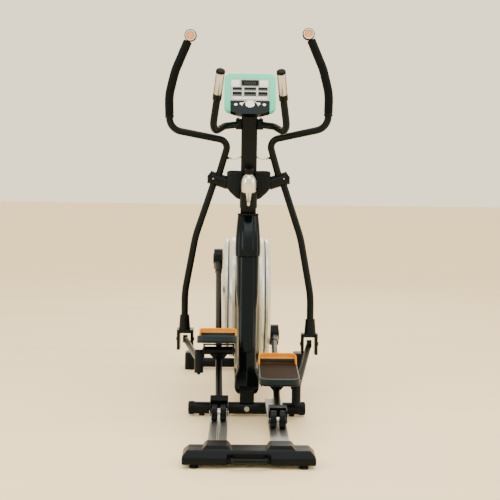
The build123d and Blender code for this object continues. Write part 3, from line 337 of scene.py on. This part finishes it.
def ring(centre, axis, inner, outer, width, rim=0.6):
    """Flat-sided ring with eased edges."""
    half = width / 2
    return lathe([(inner, -half), (outer - rim, -half), (outer, -half + rim), (outer, half - rim),
                  (outer - rim, half), (inner, half)], frame_of(centre, axis))


# ---------------------------------------------------------------- camera, stage and light
def add_camera():
    data = bpy.data.cameras.new("view")
    data.sensor_width = 36.0
    data.lens = 69.12
    camera = bpy.data.objects.new("view", data)
    data.shift_y = -0.134
    yaw, roll = math.radians(0.76), math.radians(0.71)
    ahead = Vector((math.sin(yaw), math.cos(yaw), 0))
    right = ahead.cross(Vector((0, 0, 1)))
    up = Vector((0, 0, 1))
    up, right = up * math.cos(roll) - right * math.sin(roll), right * math.cos(roll) + up * math.sin(roll)
    turn = Matrix((right, up, -ahead)).transposed().to_4x4()
    camera.matrix_world = Matrix.Translation((-0.052, -4.217, 0.986)) @ turn
    bpy.context.scene.collection.objects.link(camera)
    bpy.context.scene.camera = camera


def add_stage():
    """Wide pale floor, with very faint boards."""
    mesh = bpy.data.meshes.new("studio")
    reach = 40.0
    mesh.from_pydata([(-reach, -reach, 0), (reach, -reach, 0), (reach, reach, 0), (-reach, reach, 0)], [],
                     [(0, 1, 2, 3)])
    mesh.materials.append(finish("studio_floor", (0.96, 0.80, 0.53), 0.45, 0, 0, 0.15, 0.035, 1.2, 0.05, 60,
                                 0.02,
                                 (0.25, 5.0, 1.0)))
    floor = bpy.data.objects.new("studio", mesh)
    bpy.context.scene.collection.objects.link(floor)


def add_light(name, place, target, size, power, colour=(1, 1, 1)):
    data = bpy.data.lights.new(name, "AREA")
    data.shape = "RECTANGLE"
    data.size, data.size_y = size
    data.energy = power
    data.color = colour
    light = bpy.data.objects.new(name, data)
    light.location = place
    light.rotation_euler = (Vector(target) - Vector(place)).to_track_quat("-Z", "Y").to_euler()
    bpy.context.scene.collection.objects.link(light)


def add_lights():
    add_light("top", (0.3, -1.2, 3.8), (0, 0, 0.5), (3.2, 2.6), 95, (1.0, 0.98, 0.94))
    add_light("left", (-3.4, -2.2, 2.3), (0, 0, 0.8), (0.9, 2.6), 75, (0.97, 0.99, 1.0))
    add_light("right", (3.4, -1.2, 2.0), (0, 0, 0.7), (0.7, 2.6), 45, (1.0, 0.97, 0.93))
    add_light("rear", (0.4, 4.5, 2.6), (0, 0, 0.9), (2.6, 1.6), 40, (1.0, 0.98, 0.95))
    world = bpy.data.worlds.new("soft")
    world.use_nodes = True
    world.node_tree.nodes["Background"].inputs[0].default_value = (1.0, 0.86, 0.60, 1)
    world.node_tree.nodes["Background"].inputs[1].default_value = 1.9
    bpy.context.scene.world = world


# ---------------------------------------------------------------- signal cables
CABLES = {
    "left": [(-37.5, 179.0, 1104.0), (-50.3, 177.8, 1098.8), (-64.1, 176.6, 1092.5),
             (-77.9, 175.3, 1095.7), (-90.7, 174.2, 1099.0)],
    "right": [(37.5, 179.0, 1104.0), (50.1, 180.9, 1099.4), (63.7, 183.0, 1093.7),
              (77.3, 185.1, 1097.6), (89.9, 187.0, 1101.4)],
}


def add_cable(side):
    points = [Vector(p) / 1000 for p in CABLES[side]]
    curve = bpy.data.curves.new("route", "CURVE")
    curve.dimensions = "3D"
    curve.resolution_u = 16
    spline = curve.splines.new("NURBS")
    spline.points.add(len(points) - 1)
    for target, point in zip(spline.points, points):
        target.co = (*point, 1)
    spline.order_u = 3
    spline.use_endpoint_u = True
    holder = bpy.data.objects.new("route", curve)
    bpy.context.scene.collection.objects.link(holder)
    bpy.context.view_layer.update()
    line = bpy.data.meshes.new_from_object(holder)
    curve.bevel_depth = 0.002
    curve.bevel_resolution = 6
    curve.use_fill_caps = True
    bpy.context.view_layer.update()
    mesh = bpy.data.meshes.new_from_object(holder)
    bpy.data.objects.remove(holder)
    smooth(mesh, 50)
    cable = bpy.data.objects.new("cable_" + side, mesh)
    bpy.context.scene.collection.objects.link(cable)
    mesh.materials.clear()
    mesh.materials.append(M["pale_cable"])
    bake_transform(cable)
    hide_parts("signal_cable_" + side)
    sleeve = lathe([(2.1, -1.5), (5.0, -1.5), (5.0, 1), (3.4, 3), (3.2, 8), (2.1, 10)],
                   frame_of(points[0], points[1] - points[0]), 32)
    piece("mast_grommet_" + side, sleeve, "base", "pale_cable")
    plug = lathe([(2.1, -2), (4.6, -2), (5.2, 0), (5.2, 9), (3.6, 11), (2.1, 11)],
                 frame_of(points[-1], points[-2] - points[-1]), 32)
    piece("plug_" + side, plug, "swing_" + side, "pale_cable")


# ---------------------------------------------------------------- handlebars and grips
def foam_from(side):
    """Foam sleeve with softened ends, from the grip's solid."""
    parts = sorted(loose_parts("hand_grip_" + side), key=lambda part: part[0].z)
    foam = parts[0][1]
    obj = bpy.data.objects.new("foam_grip_" + side, foam)
    bpy.context.scene.collection.objects.link(obj)
    remesh = obj.modifiers.new("even", "REMESH")
    remesh.mode = "VOXEL"
    remesh.voxel_size = 0.0018
    relax = obj.modifiers.new("soften", "SMOOTH")
    relax.iterations = 6
    bpy.context.view_layer.update()
    result = bpy.data.meshes.new_from_object(obj.evaluated_get(bpy.context.evaluated_depsgraph_get()))
    bpy.data.objects.remove(obj)
    for vert in result.vertices:
        vert.co += Vector((1, 1, 1)) * 0.00025 * noise.noise(vert.co * 60)
    for polygon in result.polygons:
        polygon.use_smooth = True
    result.materials.clear()
    grip = piece("foam_grip_" + side, result, "swing_" + side, "foam")
    turn = swing_matrix(side)
    centre = at(257, 933, 1643)
    user = Vector((0, -1, 0))
    pod = lathe([(0, -17), (21, -17), (25.5, -14), (27, -10), (27, 10), (25.5, 13.5), (23.5, 15), (15.4, 15),
                 (15.4, 8), (0, 8)], frame_of(centre, user))
    body = piece("grip_end_" + side, placed(pod, turn), "swing_" + side, "black_plastic")
    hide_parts("hand_grip_" + side)
    trim = lathe([(16.0, 14.2), (16.4, 16.2), (18.5, 17.0), (22.0, 16.2), (23.4, 14.6)], frame_of(centre,
                 user))
    piece("grip_ring_" + side, placed(trim, turn), "swing_" + side, "chrome")
    key = lathe([(0, -4), (14.9, -4), (14.9, 14.5), (13.6, 16.2), (9, 16.9), (8.2, 16.2), (0, 16.6)],
                frame_of(centre, user), 48)
    button = piece("grip_key_" + side, placed(key, turn), "grip_button_" + side, "peach_plastic")
    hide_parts("grip_button_" + side)
    low, high = at(351.9, 976.3, 1298.0), at(353, 965, 1383)
    along = (high - low).normalized()
    collar = lathe([(16.1, -14), (18.6, -14), (19.8, -12.5), (19.8, -2), (19.2, -0.5), (16.1, -0.5)],
                   frame_of(low, along))
    piece("grip_collar_" + side, placed(collar, turn), "swing_" + side, "black_plastic")


def pulse_grips():
    """Ferrule, metal sleeve with two dark side strips and a round cap on each end of the fixed bar."""
    first = None
    for sign, label in ((-1, "left"), (1, "right")):
        base, tip = at(sign * 146, 868, 1338), at(sign * 129, 782, 1458)
        along = (tip - base).normalized()
        length = (tip - base).length * 1000
        matrix = frame_of(base, along, (1, 0, 0))
        low, high = length - 107, length - 5
        sleeve = lathe([(16.1, low), (18.5, low), (19.0, low + 0.8), (19.0, high - 0.8), (18.5, high),
                        (16.1, high)],
                       matrix, 72)
        obj = piece("pulse_sleeve_" + label, sleeve, "base", "bright_steel", "brown_strip")
        inverse = matrix.inverted()
        for polygon in sleeve.polygons:
            spot = inverse @ polygon.center
            side_on = abs(spot.x) / max(math.hypot(spot.x, spot.y), 1e-9)
            middle = low + 3 < spot.z * 1000 < high - 3 or polygon.area > 4e-5
            if side_on > 0.86 and middle and math.hypot(spot.x, spot.y) > 0.0175:
                polygon.material_index = 1
        if first is None:
            first = obj
        ferrule = lathe([(16.1, length - 140), (17.2, length - 140), (20.0, length - 136), (20.0,
                        length - 112),
                         (19.4, length - 108), (16.1, length - 108)], matrix)
        piece("pulse_ferrule_" + label, ferrule, "base", "black_plastic")
        cap = lathe([(16.1, length - 4), (20.4, length - 4), (20.5, length + 1), (19.6, length + 6),
                     (16.5, length + 9), (11, length + 10), (0, length + 10), (0, length + 0.2), (16.1,
                             length + 0.2)],
                    matrix)
        piece("pulse_cap_" + label, cap, "base", "black_plastic")
    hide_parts("hr_grips")


# ---------------------------------------------------------------- console
def face_matrix(u=0.0, v=0.0):
    tilt = math.radians(20)
    up = Vector((0, math.sin(tilt), math.cos(tilt)))
    out = Vector((0, -math.cos(tilt), math.sin(tilt)))
    across = Vector((1, 0, 0))
    origin = at(0, 956, 1386) + across * u / 1000 + up * v / 1000
    return Matrix.Translation(origin) @ Matrix((across, up, out)).transposed().to_4x4()


def console_details():
    def plates(name, key, items, low, high, edge=0.3, corner=2.0, body="base"):
        meshes = []
        for u, v, width, height in items:
            meshes.append(raised_plate(rounded_outline(width, height, min(corner, height / 2.2)), low, high,
                                       edge,
                                       face_matrix(u, v)))
        return piece(name, join_meshes(name, meshes), body, key)

    plates("console_windows", "display_glass",
           [(u, v, w, h) for v, h in ((18, 16), (-6, 20)) for u, w in ((-57, 41), (0, 53), (57,
            41))], 0.3, 1.1)
    plates("console_bars", "grey_print_and_rim_highlight",
           [(u, v, w, 4.4) for v in (13.2, -11.4) for u, w in ((-57, 37), (0, 49), (57,
            37))], 0.9, 1.35, 0.1, 1.0)
    plates("console_rules", "light_print",
           [(u, v, w, 1.6) for v in (7.2, -19.0) for u, w in ((-57, 41), (0, 53), (57, 41))]
           + [(u, 4, 1.6, 44) for u in (-31.5, 31.5)] + [(0, -27, 150, 9)], 0.4, 0.95, 0.1, 0.6)
    plates("console_squares", "light_print", [(-66, 45, 37, 33), (62, 45, 37, 33)], 0.3, 1.3, 0.4, 3)
    plates("console_screen_frame", "grey_print_and_rim_highlight", [(0, 61.2, 80, 3.0), (0, 34.0, 80, 3.0), (-38.6, 47.6, 3.0,
           30),
                                                  (38.6, 47.6, 3.0, 30)], 0.3, 1.8, 0.5, 1.2)
    plates("console_segments", "grey_print_and_rim_highlight",
           [(-24 + 9.5 * k, 47, 1.2, 11) for k in range(6)] + [(-19 + 9.5 * k, 52, 6.5,
                   1.0) for k in range(5)]
           + [(-19 + 9.5 * k, 42, 6.5, 1.0) for k in range(5)], 1.15, 1.32, 0.03, 0.4)
    outline = [(38 * math.cos(math.radians(a)), 27 * math.sin(math.radians(a))) for a in range(0, 181, 6)]
    inner = [(34.5 * math.cos(math.radians(a)), 23.5 * math.sin(math.radians(a))) for a in range(180, -1, -6)]
    bm = bmesh.new()
    rows = []
    for z in (3.6, 4.5):
        rows.append(([bm.verts.new((x / 1000, y / 1000, z / 1000)) for x, y in outline],
                     [bm.verts.new((x / 1000, y / 1000, z / 1000)) for x, y in reversed(inner)]))
    for k in range(len(outline) - 1):
        (ol, il), (oh, ih) = rows
        bm.faces.new((oh[k], oh[k + 1], ih[k + 1], ih[k]))
        bm.faces.new((ol[k], ol[k + 1], oh[k + 1], oh[k]))
        bm.faces.new((il[k], ih[k], ih[k + 1], il[k + 1]))
    bmesh.ops.transform(bm, matrix=face_matrix(0, -66), verts=bm.verts)
    mesh = bpy.data.meshes.new("arc")
    bm.to_mesh(mesh)
    bm.free()
    smooth(mesh)
    piece("console_arc", mesh, "base", "light_print")
    plates("key_marks", "grey_print_and_rim_highlight", [(-38, -56, 5, 0.9), (38, -56, 5, 0.9)], 6.4, 6.62, 0.03, 0.3)


# ---------------------------------------------------------------- bottle
def add_bottle():
    tilt = math.radians(14)
    along = Vector((0, -math.sin(tilt), math.cos(tilt)))
    out = Vector((0, -math.cos(tilt), -math.sin(tilt)))
    origin = at(0, 1160, 840) + out * 0.071
    matrix = frame_of(origin, along, (1, 0, 0))
    body = lathe([(0, 58.6), (29, 58.6), (33.5, 60.2), (35.8, 64), (35.8, 84), (35.2, 85), (35.2, 87),
                  (35.8, 88),
                  (35.8, 168), (35.0, 176), (32.0, 187), (26.5, 197), (21, 203), (19.2, 205), (19.2, 209.8),
                  (0, 209.8)], matrix, 96)
    obj = piece("flask", body, "bottle", "bottle_aluminium")
    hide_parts("bottle")
    cap = [(0, 210.0), (19.8, 210.0), (20.0, 211.0), (20.0, 229), (18.5, 233.5), (15.5, 236.4), (13, 237),
           (0, 237)]
    mesh = lathe(cap, matrix, 96)
    inverse = matrix.inverted()
    for vert in mesh.vertices:
        spot = inverse @ vert.co
        radius = math.hypot(spot.x, spot.y)
        if 0.0195 < radius and 0.2105 < spot.z < 0.2300:
            ridge = 1 - 0.03 * (0.5 - 0.5 * math.cos(32 * math.atan2(spot.y, spot.x)))
            vert.co = matrix @ Vector((spot.x * ridge, spot.y * ridge, spot.z))
    piece("flask_cap", mesh, "bottle", "black_plastic")


# ---------------------------------------------------------------- mouldings with eased forms
def loft_skin(sections):
    """Closed smooth skin through level loops of (x, ahead) points with one height each, in millimetres."""
    bm = bmesh.new()
    loops = [[bm.verts.new(at(x, ahead, z)) for x, ahead in points] for z, points in sections]
    count = len(loops[0])
    for low, high in zip(loops, loops[1:]):
        for k in range(count):
            bm.faces.new((low[k], low[(k + 1) % count], high[(k + 1) % count], high[k]))
    bm.faces.new(list(reversed(loops[0])))
    bm.faces.new(loops[-1])
    bmesh.ops.recalc_face_normals(bm, faces=bm.faces)
    mesh = bpy.data.meshes.new("skin")
    bm.to_mesh(mesh)
    bm.free()
    smooth(mesh, 50)
    return mesh


def between(rows, z):
    """Row values at a height, eased from row to row."""
    for low, high in zip(rows, rows[1:]):
        if z <= high[0]:
            share = (z - low[0]) / (high[0] - low[0])
            return [a + (b - a) * share for a, b in zip(low[1:], high[1:])]
    return list(rows[-1][1:])


def both_sides(half_points):
    """Loop from points given on the right, from the rear centre line to the front one."""
    return half_points + [(-x, ahead) for x, ahead in reversed(half_points)]


def spine_skin():
    rows = [(70.0, 842, 985, 1030, 1110, 52, 54), (107.0, 850, 1010, 1050, 1400, 54, 56),
            (145.0, 861, 1020, 1065, 1400, 52, 57), (175.0, 871, 1025, 1075, 1400, 38, 56),
            (300.0, 930, 1030, 1080, 1390, 39, 58), (420.0, 980, 1038, 1088, 1374, 41, 58),
            (480.0, 1001, 1046, 1095, 1363, 47, 58), (684.0, 1052, 1085, 1125, 1290, 48, 54)]
    heights = [70, 71, 73, 76, 80, 85, 92, 100, 107, 118, 130, 145, 160, 180, 200, 220, 236, 243, 244.5,
               247, 251, 256, 262, 270]
    heights += [285 + 19 * k for k in range(21)] + [684]
    sections = []
    for z in heights:
        rear, straight, flare, front, a, b = between(rows, z)
        foot = max(0.0, 1 - (z - 70) / 32)
        round_in = 20 * (1 - math.sqrt(max(0.0, 1 - foot * foot)))
        a, b, rear = a - round_in, b - round_in * 0.4, rear + round_in
        panel = 27 if z >= 270 else math.sqrt(max(27 ** 2 - (270 - z) ** 2, 9)) if z > 243 else 3
        rise = 3.0 if z >= 247 else 3.0 * max(0.0, (z - 243) / 4)
        panel = min(panel, a - 6)
        half = [(0.01, rear - rise - 0.6), (panel * 0.5, rear - rise - 0.5), (panel - 2.5, rear - rise),
                (panel - 0.7, rear - rise + 0.8), (panel, rear - rise * 0.2 + 0.6),
                (panel + 1.2, rear + 1.4), (max(panel + 2.5, a - 9), rear + 2.2), (a - 3.5, rear + 4.5),
                (a - 1.0, rear + 9), (a, rear + 17), (a + 1.0, (rear + straight) / 2), (a + 1.8,
                        straight - 8)]
        for share in (0.12, 0.35, 0.65, 0.88):
            eased = share * share * (3 - 2 * share)
            half.append((a + 2 + (b - a - 2) * eased, straight + (flare - straight) * share))
        half += [(b, flare + 10), (b, (flare + front) / 2), (b, front - 34), (b - 6, front - 14),
                 (b - 18, front - 3), (b * 0.4, front), (0.01, front)]
        sections.append((z, both_sides(half)))
    obj = piece("spine_moulding", loft_skin(sections), "base", "gloss_black")
    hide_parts("spine_cover")
    vents = []
    for side in (-1, 1):
        for row in range(6):
            z = 140 + 16 * row
            rear, straight, flare, front, a, b = between(rows, z)
            for turn in range(2):
                spot = at(side * (a + 1.2), 905 + 7 * row + 36 * turn, z)
                matrix = frame_of(spot, (side, 0, 0), (0, 1, 0))
                vents.append(raised_plate(rounded_outline(30, 5.5, 2.6), -1.0, 0.5, 0.3, matrix))
    piece("spine_vents", join_meshes("spine_vents", vents), "base", "rubber")


def boot_skin():
    """Tapered sleeve round the foot of the mast, with a flat tongue down its middle."""
    rows = [(655.0, 1030, 1296, 56.5, 26), (684.0, 1036, 1296, 57.5, 26), (700.0, 1041, 1292, 57.5, 26),
            (740.0, 1057, 1262, 56.0, 24), (770.0, 1070, 1240, 54.0, 22), (810.0, 1092, 1216, 50.5, 18),
            (832.0, 1106, 1206, 48.0, 15), (840.0, 1112, 1203, 46.5, 13)]
    sections = []
    for k in range(31):
        z = 655 + (840 - 655) * k / 30
        rear, front, half_wide, corner = between(rows, z)
        tongue = 23.0 if z > 690 else math.sqrt(max(23.0 ** 2 - (690 - z) ** 2 * 0.9, 4))
        lift = 1.8 if z > 672 else 0.9
        half = [(0.01, rear - lift - 0.5), (tongue * 0.6, rear - lift - 0.3), (tongue - 1.5, rear - lift),
                (tongue, rear - lift * 0.3), (tongue + 1.5, rear + 0.8)]
        for step in range(1, 8):
            angle = math.radians(90 * step / 7)
            half.append((half_wide - corner + corner * math.sin(angle),
                         rear + 1.0 + corner * 1.3 * (1 - math.cos(angle))))
        half += [(half_wide, (rear + front) / 2), (half_wide, front - corner)]
        for step in range(1, 6):
            angle = math.radians(90 * step / 5)
            half.append((half_wide - corner * (1 - math.cos(angle)),
                         front - corner + corner * math.sin(angle)))
        half.append((0.01, front))
        sections.append((z, both_sides(half)))
    obj = piece("boot_moulding", loft_skin(sections), "base", "gloss_black")
    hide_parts("mast_boot")
    lip = []
    rear, front, half_wide, corner = between(rows, 836)
    for z, grow in ((836, 0.0), (838, 1.6), (842.5, 1.6), (844, 0.2)):
        shift = -0.25 * (z - 840)
        half = [(0.01, rear + shift - grow)]
        for step in range(0, 8):
            angle = math.radians(90 * step / 7)
            half.append((half_wide + grow - 14 + 14 * math.sin(angle),
                         rear + shift - grow + 14 * (1 - math.cos(angle))))
        for step in range(0, 8):
            angle = math.radians(90 * step / 7)
            half.append((half_wide + grow - 14 * (1 - math.cos(angle)),
                         front + shift + grow - 14 + 14 * math.sin(angle)))
        half.append((0.01, front + shift + grow))
        lip.append((z, both_sides(half)))
    piece("boot_lip", loft_skin(lip), "base", "rubber")


def soft_copy(node, name, body, key, voxel, passes):
    """The CAD moulding with its edges eased, as the real one's are."""
    source = NODES[node].data.copy()
    obj = bpy.data.objects.new(name, source)
    bpy.context.scene.collection.objects.link(obj)
    remesh = obj.modifiers.new("even", "REMESH")
    remesh.mode = "VOXEL"
    remesh.voxel_size = voxel
    relax = obj.modifiers.new("ease", "SMOOTH")
    relax.factor = 0.5
    relax.iterations = passes
    bpy.context.view_layer.update()
    mesh = bpy.data.meshes.new_from_object(obj.evaluated_get(bpy.context.evaluated_depsgraph_get()))
    bpy.data.objects.remove(obj)
    for polygon in mesh.polygons:
        polygon.use_smooth = True
    mesh.materials.clear()
    made = piece(name, mesh, body, key)
    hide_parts(node)
    return made


def drum_details():
    """Lips that narrow the slit between disc and shell, face rings, hub caps and casing screws."""
    for sign, label in ((-1, "left"), (1, "right")):
        axis = Vector((sign, 0, 0))
        centre = at(0, 1560, 410)
        matrix = frame_of(centre, axis)
        lip = lathe([(284, 91.3), (291.5, 91.3), (292.6, 92.4), (292.9, 95), (292.4, 97), (284, 96)],
                    matrix, 160)
        piece("disc_lip_" + label, lip, "crank", "silver_plastic")
        face = lathe([(30, 99.8), (60, 100.5), (64, 102.4), (150, 101.0), (153, 99.9), (232, 99.9), (232,
                     98.0),
                      (30, 98.0)], matrix, 120)
        piece("disc_face_" + label, face, "crank", "silver_plastic")
        cap = lathe([(0, 113.5), (16, 113.5), (17, 114.6), (16, 118.4), (12, 119.6), (0, 120.2)], matrix, 48)
        piece("crank_cap_" + label, cap, "crank", "black_plastic")
        screws = []
        for degrees in range(200, 341, 35):
            a = math.radians(degrees)
            spot = at(sign * 90, 1690 + 150 * math.cos(a), 285 + 150 * math.sin(a))
            screws.append(lathe([(0, -1.0), (4.6, -1.0), (4.8, 0.4), (3.6, 1.4), (1.6, 1.5), (1.2, 0.5), (0,
                          0.5)],
                                frame_of(spot, axis), 24))
        piece("casing_screws_" + label, join_meshes("screws", screws), "base", "zinc")


def fixings():
    """Bolts, sleeves and bands where the steel parts meet."""
    piece("bar_clamp_sleeve", ring(at(0, 1052, 1252), (1, 0, 0), 15.5, 17.6, 72, 0.8), "base", "dark_steel")
    piece("cross_tube_bolt", bolt(at(0, 745, 33), (0, -1, 0), 12, 5), "base", "zinc")
    for side, (sign, angle) in SIDES.items():
        turn = swing_matrix(side)
        cuff = ring(at(291, 1130, 362), (0, 0, 1), 16.2, 22.4, 5, 1.4)
        piece("knuckle_cuff_" + side, placed(cuff, turn), "swing_" + side, "black_plastic")
        tilt = math.radians(18)
        axis = Vector((math.cos(tilt), 0, math.sin(tilt)))
        pivot = at(142.5, 1120, 1000)
        bands = [ring(pivot + axis * offset / 1000, axis, 29.2, 31.2, 4, 1.0) for offset in (-46, 38)]
        piece("hub_bands_" + side, placed(join_meshes("bands", bands), turn), "swing_" + side,
              "black_plastic")


# ---------------------------------------------------------------- pedals and arms
PEDALS = {"left": ((-0.1661, 0.2780), -9.0), "right": ((-0.2287, 0.1647), 4.5)}


def pedal_outline(inset):
    """Plan of the pedal, rounder at the heel, in its own millimetres."""
    points = []
    for sx, ahead, corner, start in ((1, 98, 30, 0), (-1, 98, 30, 90), (-1, -192, 36, 180), (1, -192, 36,
                                     270)):
        radius = corner - inset
        for k in range(9):
            a = math.radians(start + 90 * k / 8)
            sy = 1 if ahead > 0 else -1
            points.append((sx * (81.5 - corner) + radius * math.cos(a),
                           ahead - sy * corner + radius * math.sin(a)))
    return points


def band(outer, inner, low, high, matrix):
    """Flat band between two outlines."""
    bm = bmesh.new()
    loops = [[bm.verts.new((x / 1000, y / 1000, z / 1000)) for x, y in outline]
             for outline, z in ((outer, low), (outer, high), (inner, high), (inner, low))]
    count = len(outer)
    for first, second in zip(loops, loops[1:] + loops[:1]):
        for k in range(count):
            bm.faces.new((first[k], first[(k + 1) % count], second[(k + 1) % count], second[k]))
    bmesh.ops.transform(bm, matrix=matrix, verts=bm.verts)
    bmesh.ops.recalc_face_normals(bm, faces=bm.faces)
    mesh = bpy.data.meshes.new("band")
    bm.to_mesh(mesh)
    bm.free()
    smooth(mesh)
    return mesh


def pedal_details():
    for side, ((y, z), angle) in PEDALS.items():
        sign = SIDES[side][0]
        matrix = (Matrix.Translation((0, y, z)) @ Matrix.Rotation(math.radians(angle), 4, "X")
                  @ Matrix.Translation((sign * 0.1265, 0, 0)))
        body = "pedal_" + side
        shifted = matrix @ Matrix.Translation((0, 0.0715, 0))
        piece("pedal_step_" + side, raised_plate(rounded_outline(147, 15, 5), 60.0, 75.0, 2.5, shifted), body,
              "slate_plastic")
        # Thin raised band round the tread; its lighter grey is a painted highlight along the rim's edge.
        piece("pedal_rim_painted_highlight_" + side, band(pedal_outline(1.6), pedal_outline(5.4), 60.5, 61.6, matrix), body,
              "grey_print_and_rim_highlight")
        piece("pedal_skirt_" + side, band(pedal_outline(-0.5), pedal_outline(1.0), 36.0, 39.0, matrix), body,
              "black_plastic")
        soft_copy("toe_guard_" + side, "toe_moulding_" + side, body, "orange_plastic", 0.0016, 6)
        soft_copy("pedal_base_" + side, "pedal_tray_" + side, body, "slate_plastic", 0.0022, 5)


def arm_details():
    ends = {"left": (1559.6, 600.2), "right": (1557.0, 219.8)}
    for side, (sign, angle) in SIDES.items():
        ahead, z = ends[side]
        cap = lathe([(0, -1), (27, -1), (29, 0.8), (28, 2.6), (22, 4.0), (20, 3.2), (8, 3.2), (7, 4.6), (0,
                    4.8)],
                    frame_of(at(sign * 165, ahead, z), (sign, 0, 0)), 64)
        piece("big_end_cap_" + side, cap, "arm_" + side, "black_plastic")
        tilt = math.radians(18)
        axis = Vector((math.cos(tilt), 0, math.sin(tilt)))
        spot = at(142.5, 1120, 1000) + axis * 0.02 + Vector((0, -0.0298, 0))
        screw = lathe([(0, 0), (3.6, 0), (3.8, 0.8), (3.0, 1.6), (1.4, 1.7), (1.2, 0.8), (0, 0.8)],
                      frame_of(spot, (0, -1, 0)), 24)
        piece("hub_screw_" + side, placed(screw, swing_matrix(side)), "swing_" + side, "zinc")


def rear_details():
    soft_copy("rear_cover", "rear_moulding", "base", "black_plastic", 0.0024, 7)
    screws = []
    for sign in (-1, 1):
        for x in (60, 164, 214):
            screws.append(lathe([(0, -2), (4.4, -2), (4.6, 0.4), (3.6, 1.2), (1.5, 1.3), (1.2, 0.4), (0,
                          0.4)],
                                frame_of(at(sign * x, 60, 60.5 if x < 200 else 50.5), (0, -0.06, 1)), 24))
    piece("rear_screws", join_meshes("rear_screws", screws), "base", "zinc")
    soft_copy("console_shell", "console_moulding", "base", "mint_plastic", 0.0024, 6)


add_camera()
add_stage()
add_lights()
add_cable("left")
add_cable("right")
for side in SIDES:
    foam_from(side)
pulse_grips()
console_details()
add_bottle()
spine_skin()
boot_skin()
soft_copy("yoke_cover", "yoke_moulding", "base", "black_plastic", 0.0026, 10)
drum_details()
fixings()
pedal_details()
arm_details()
rear_details()
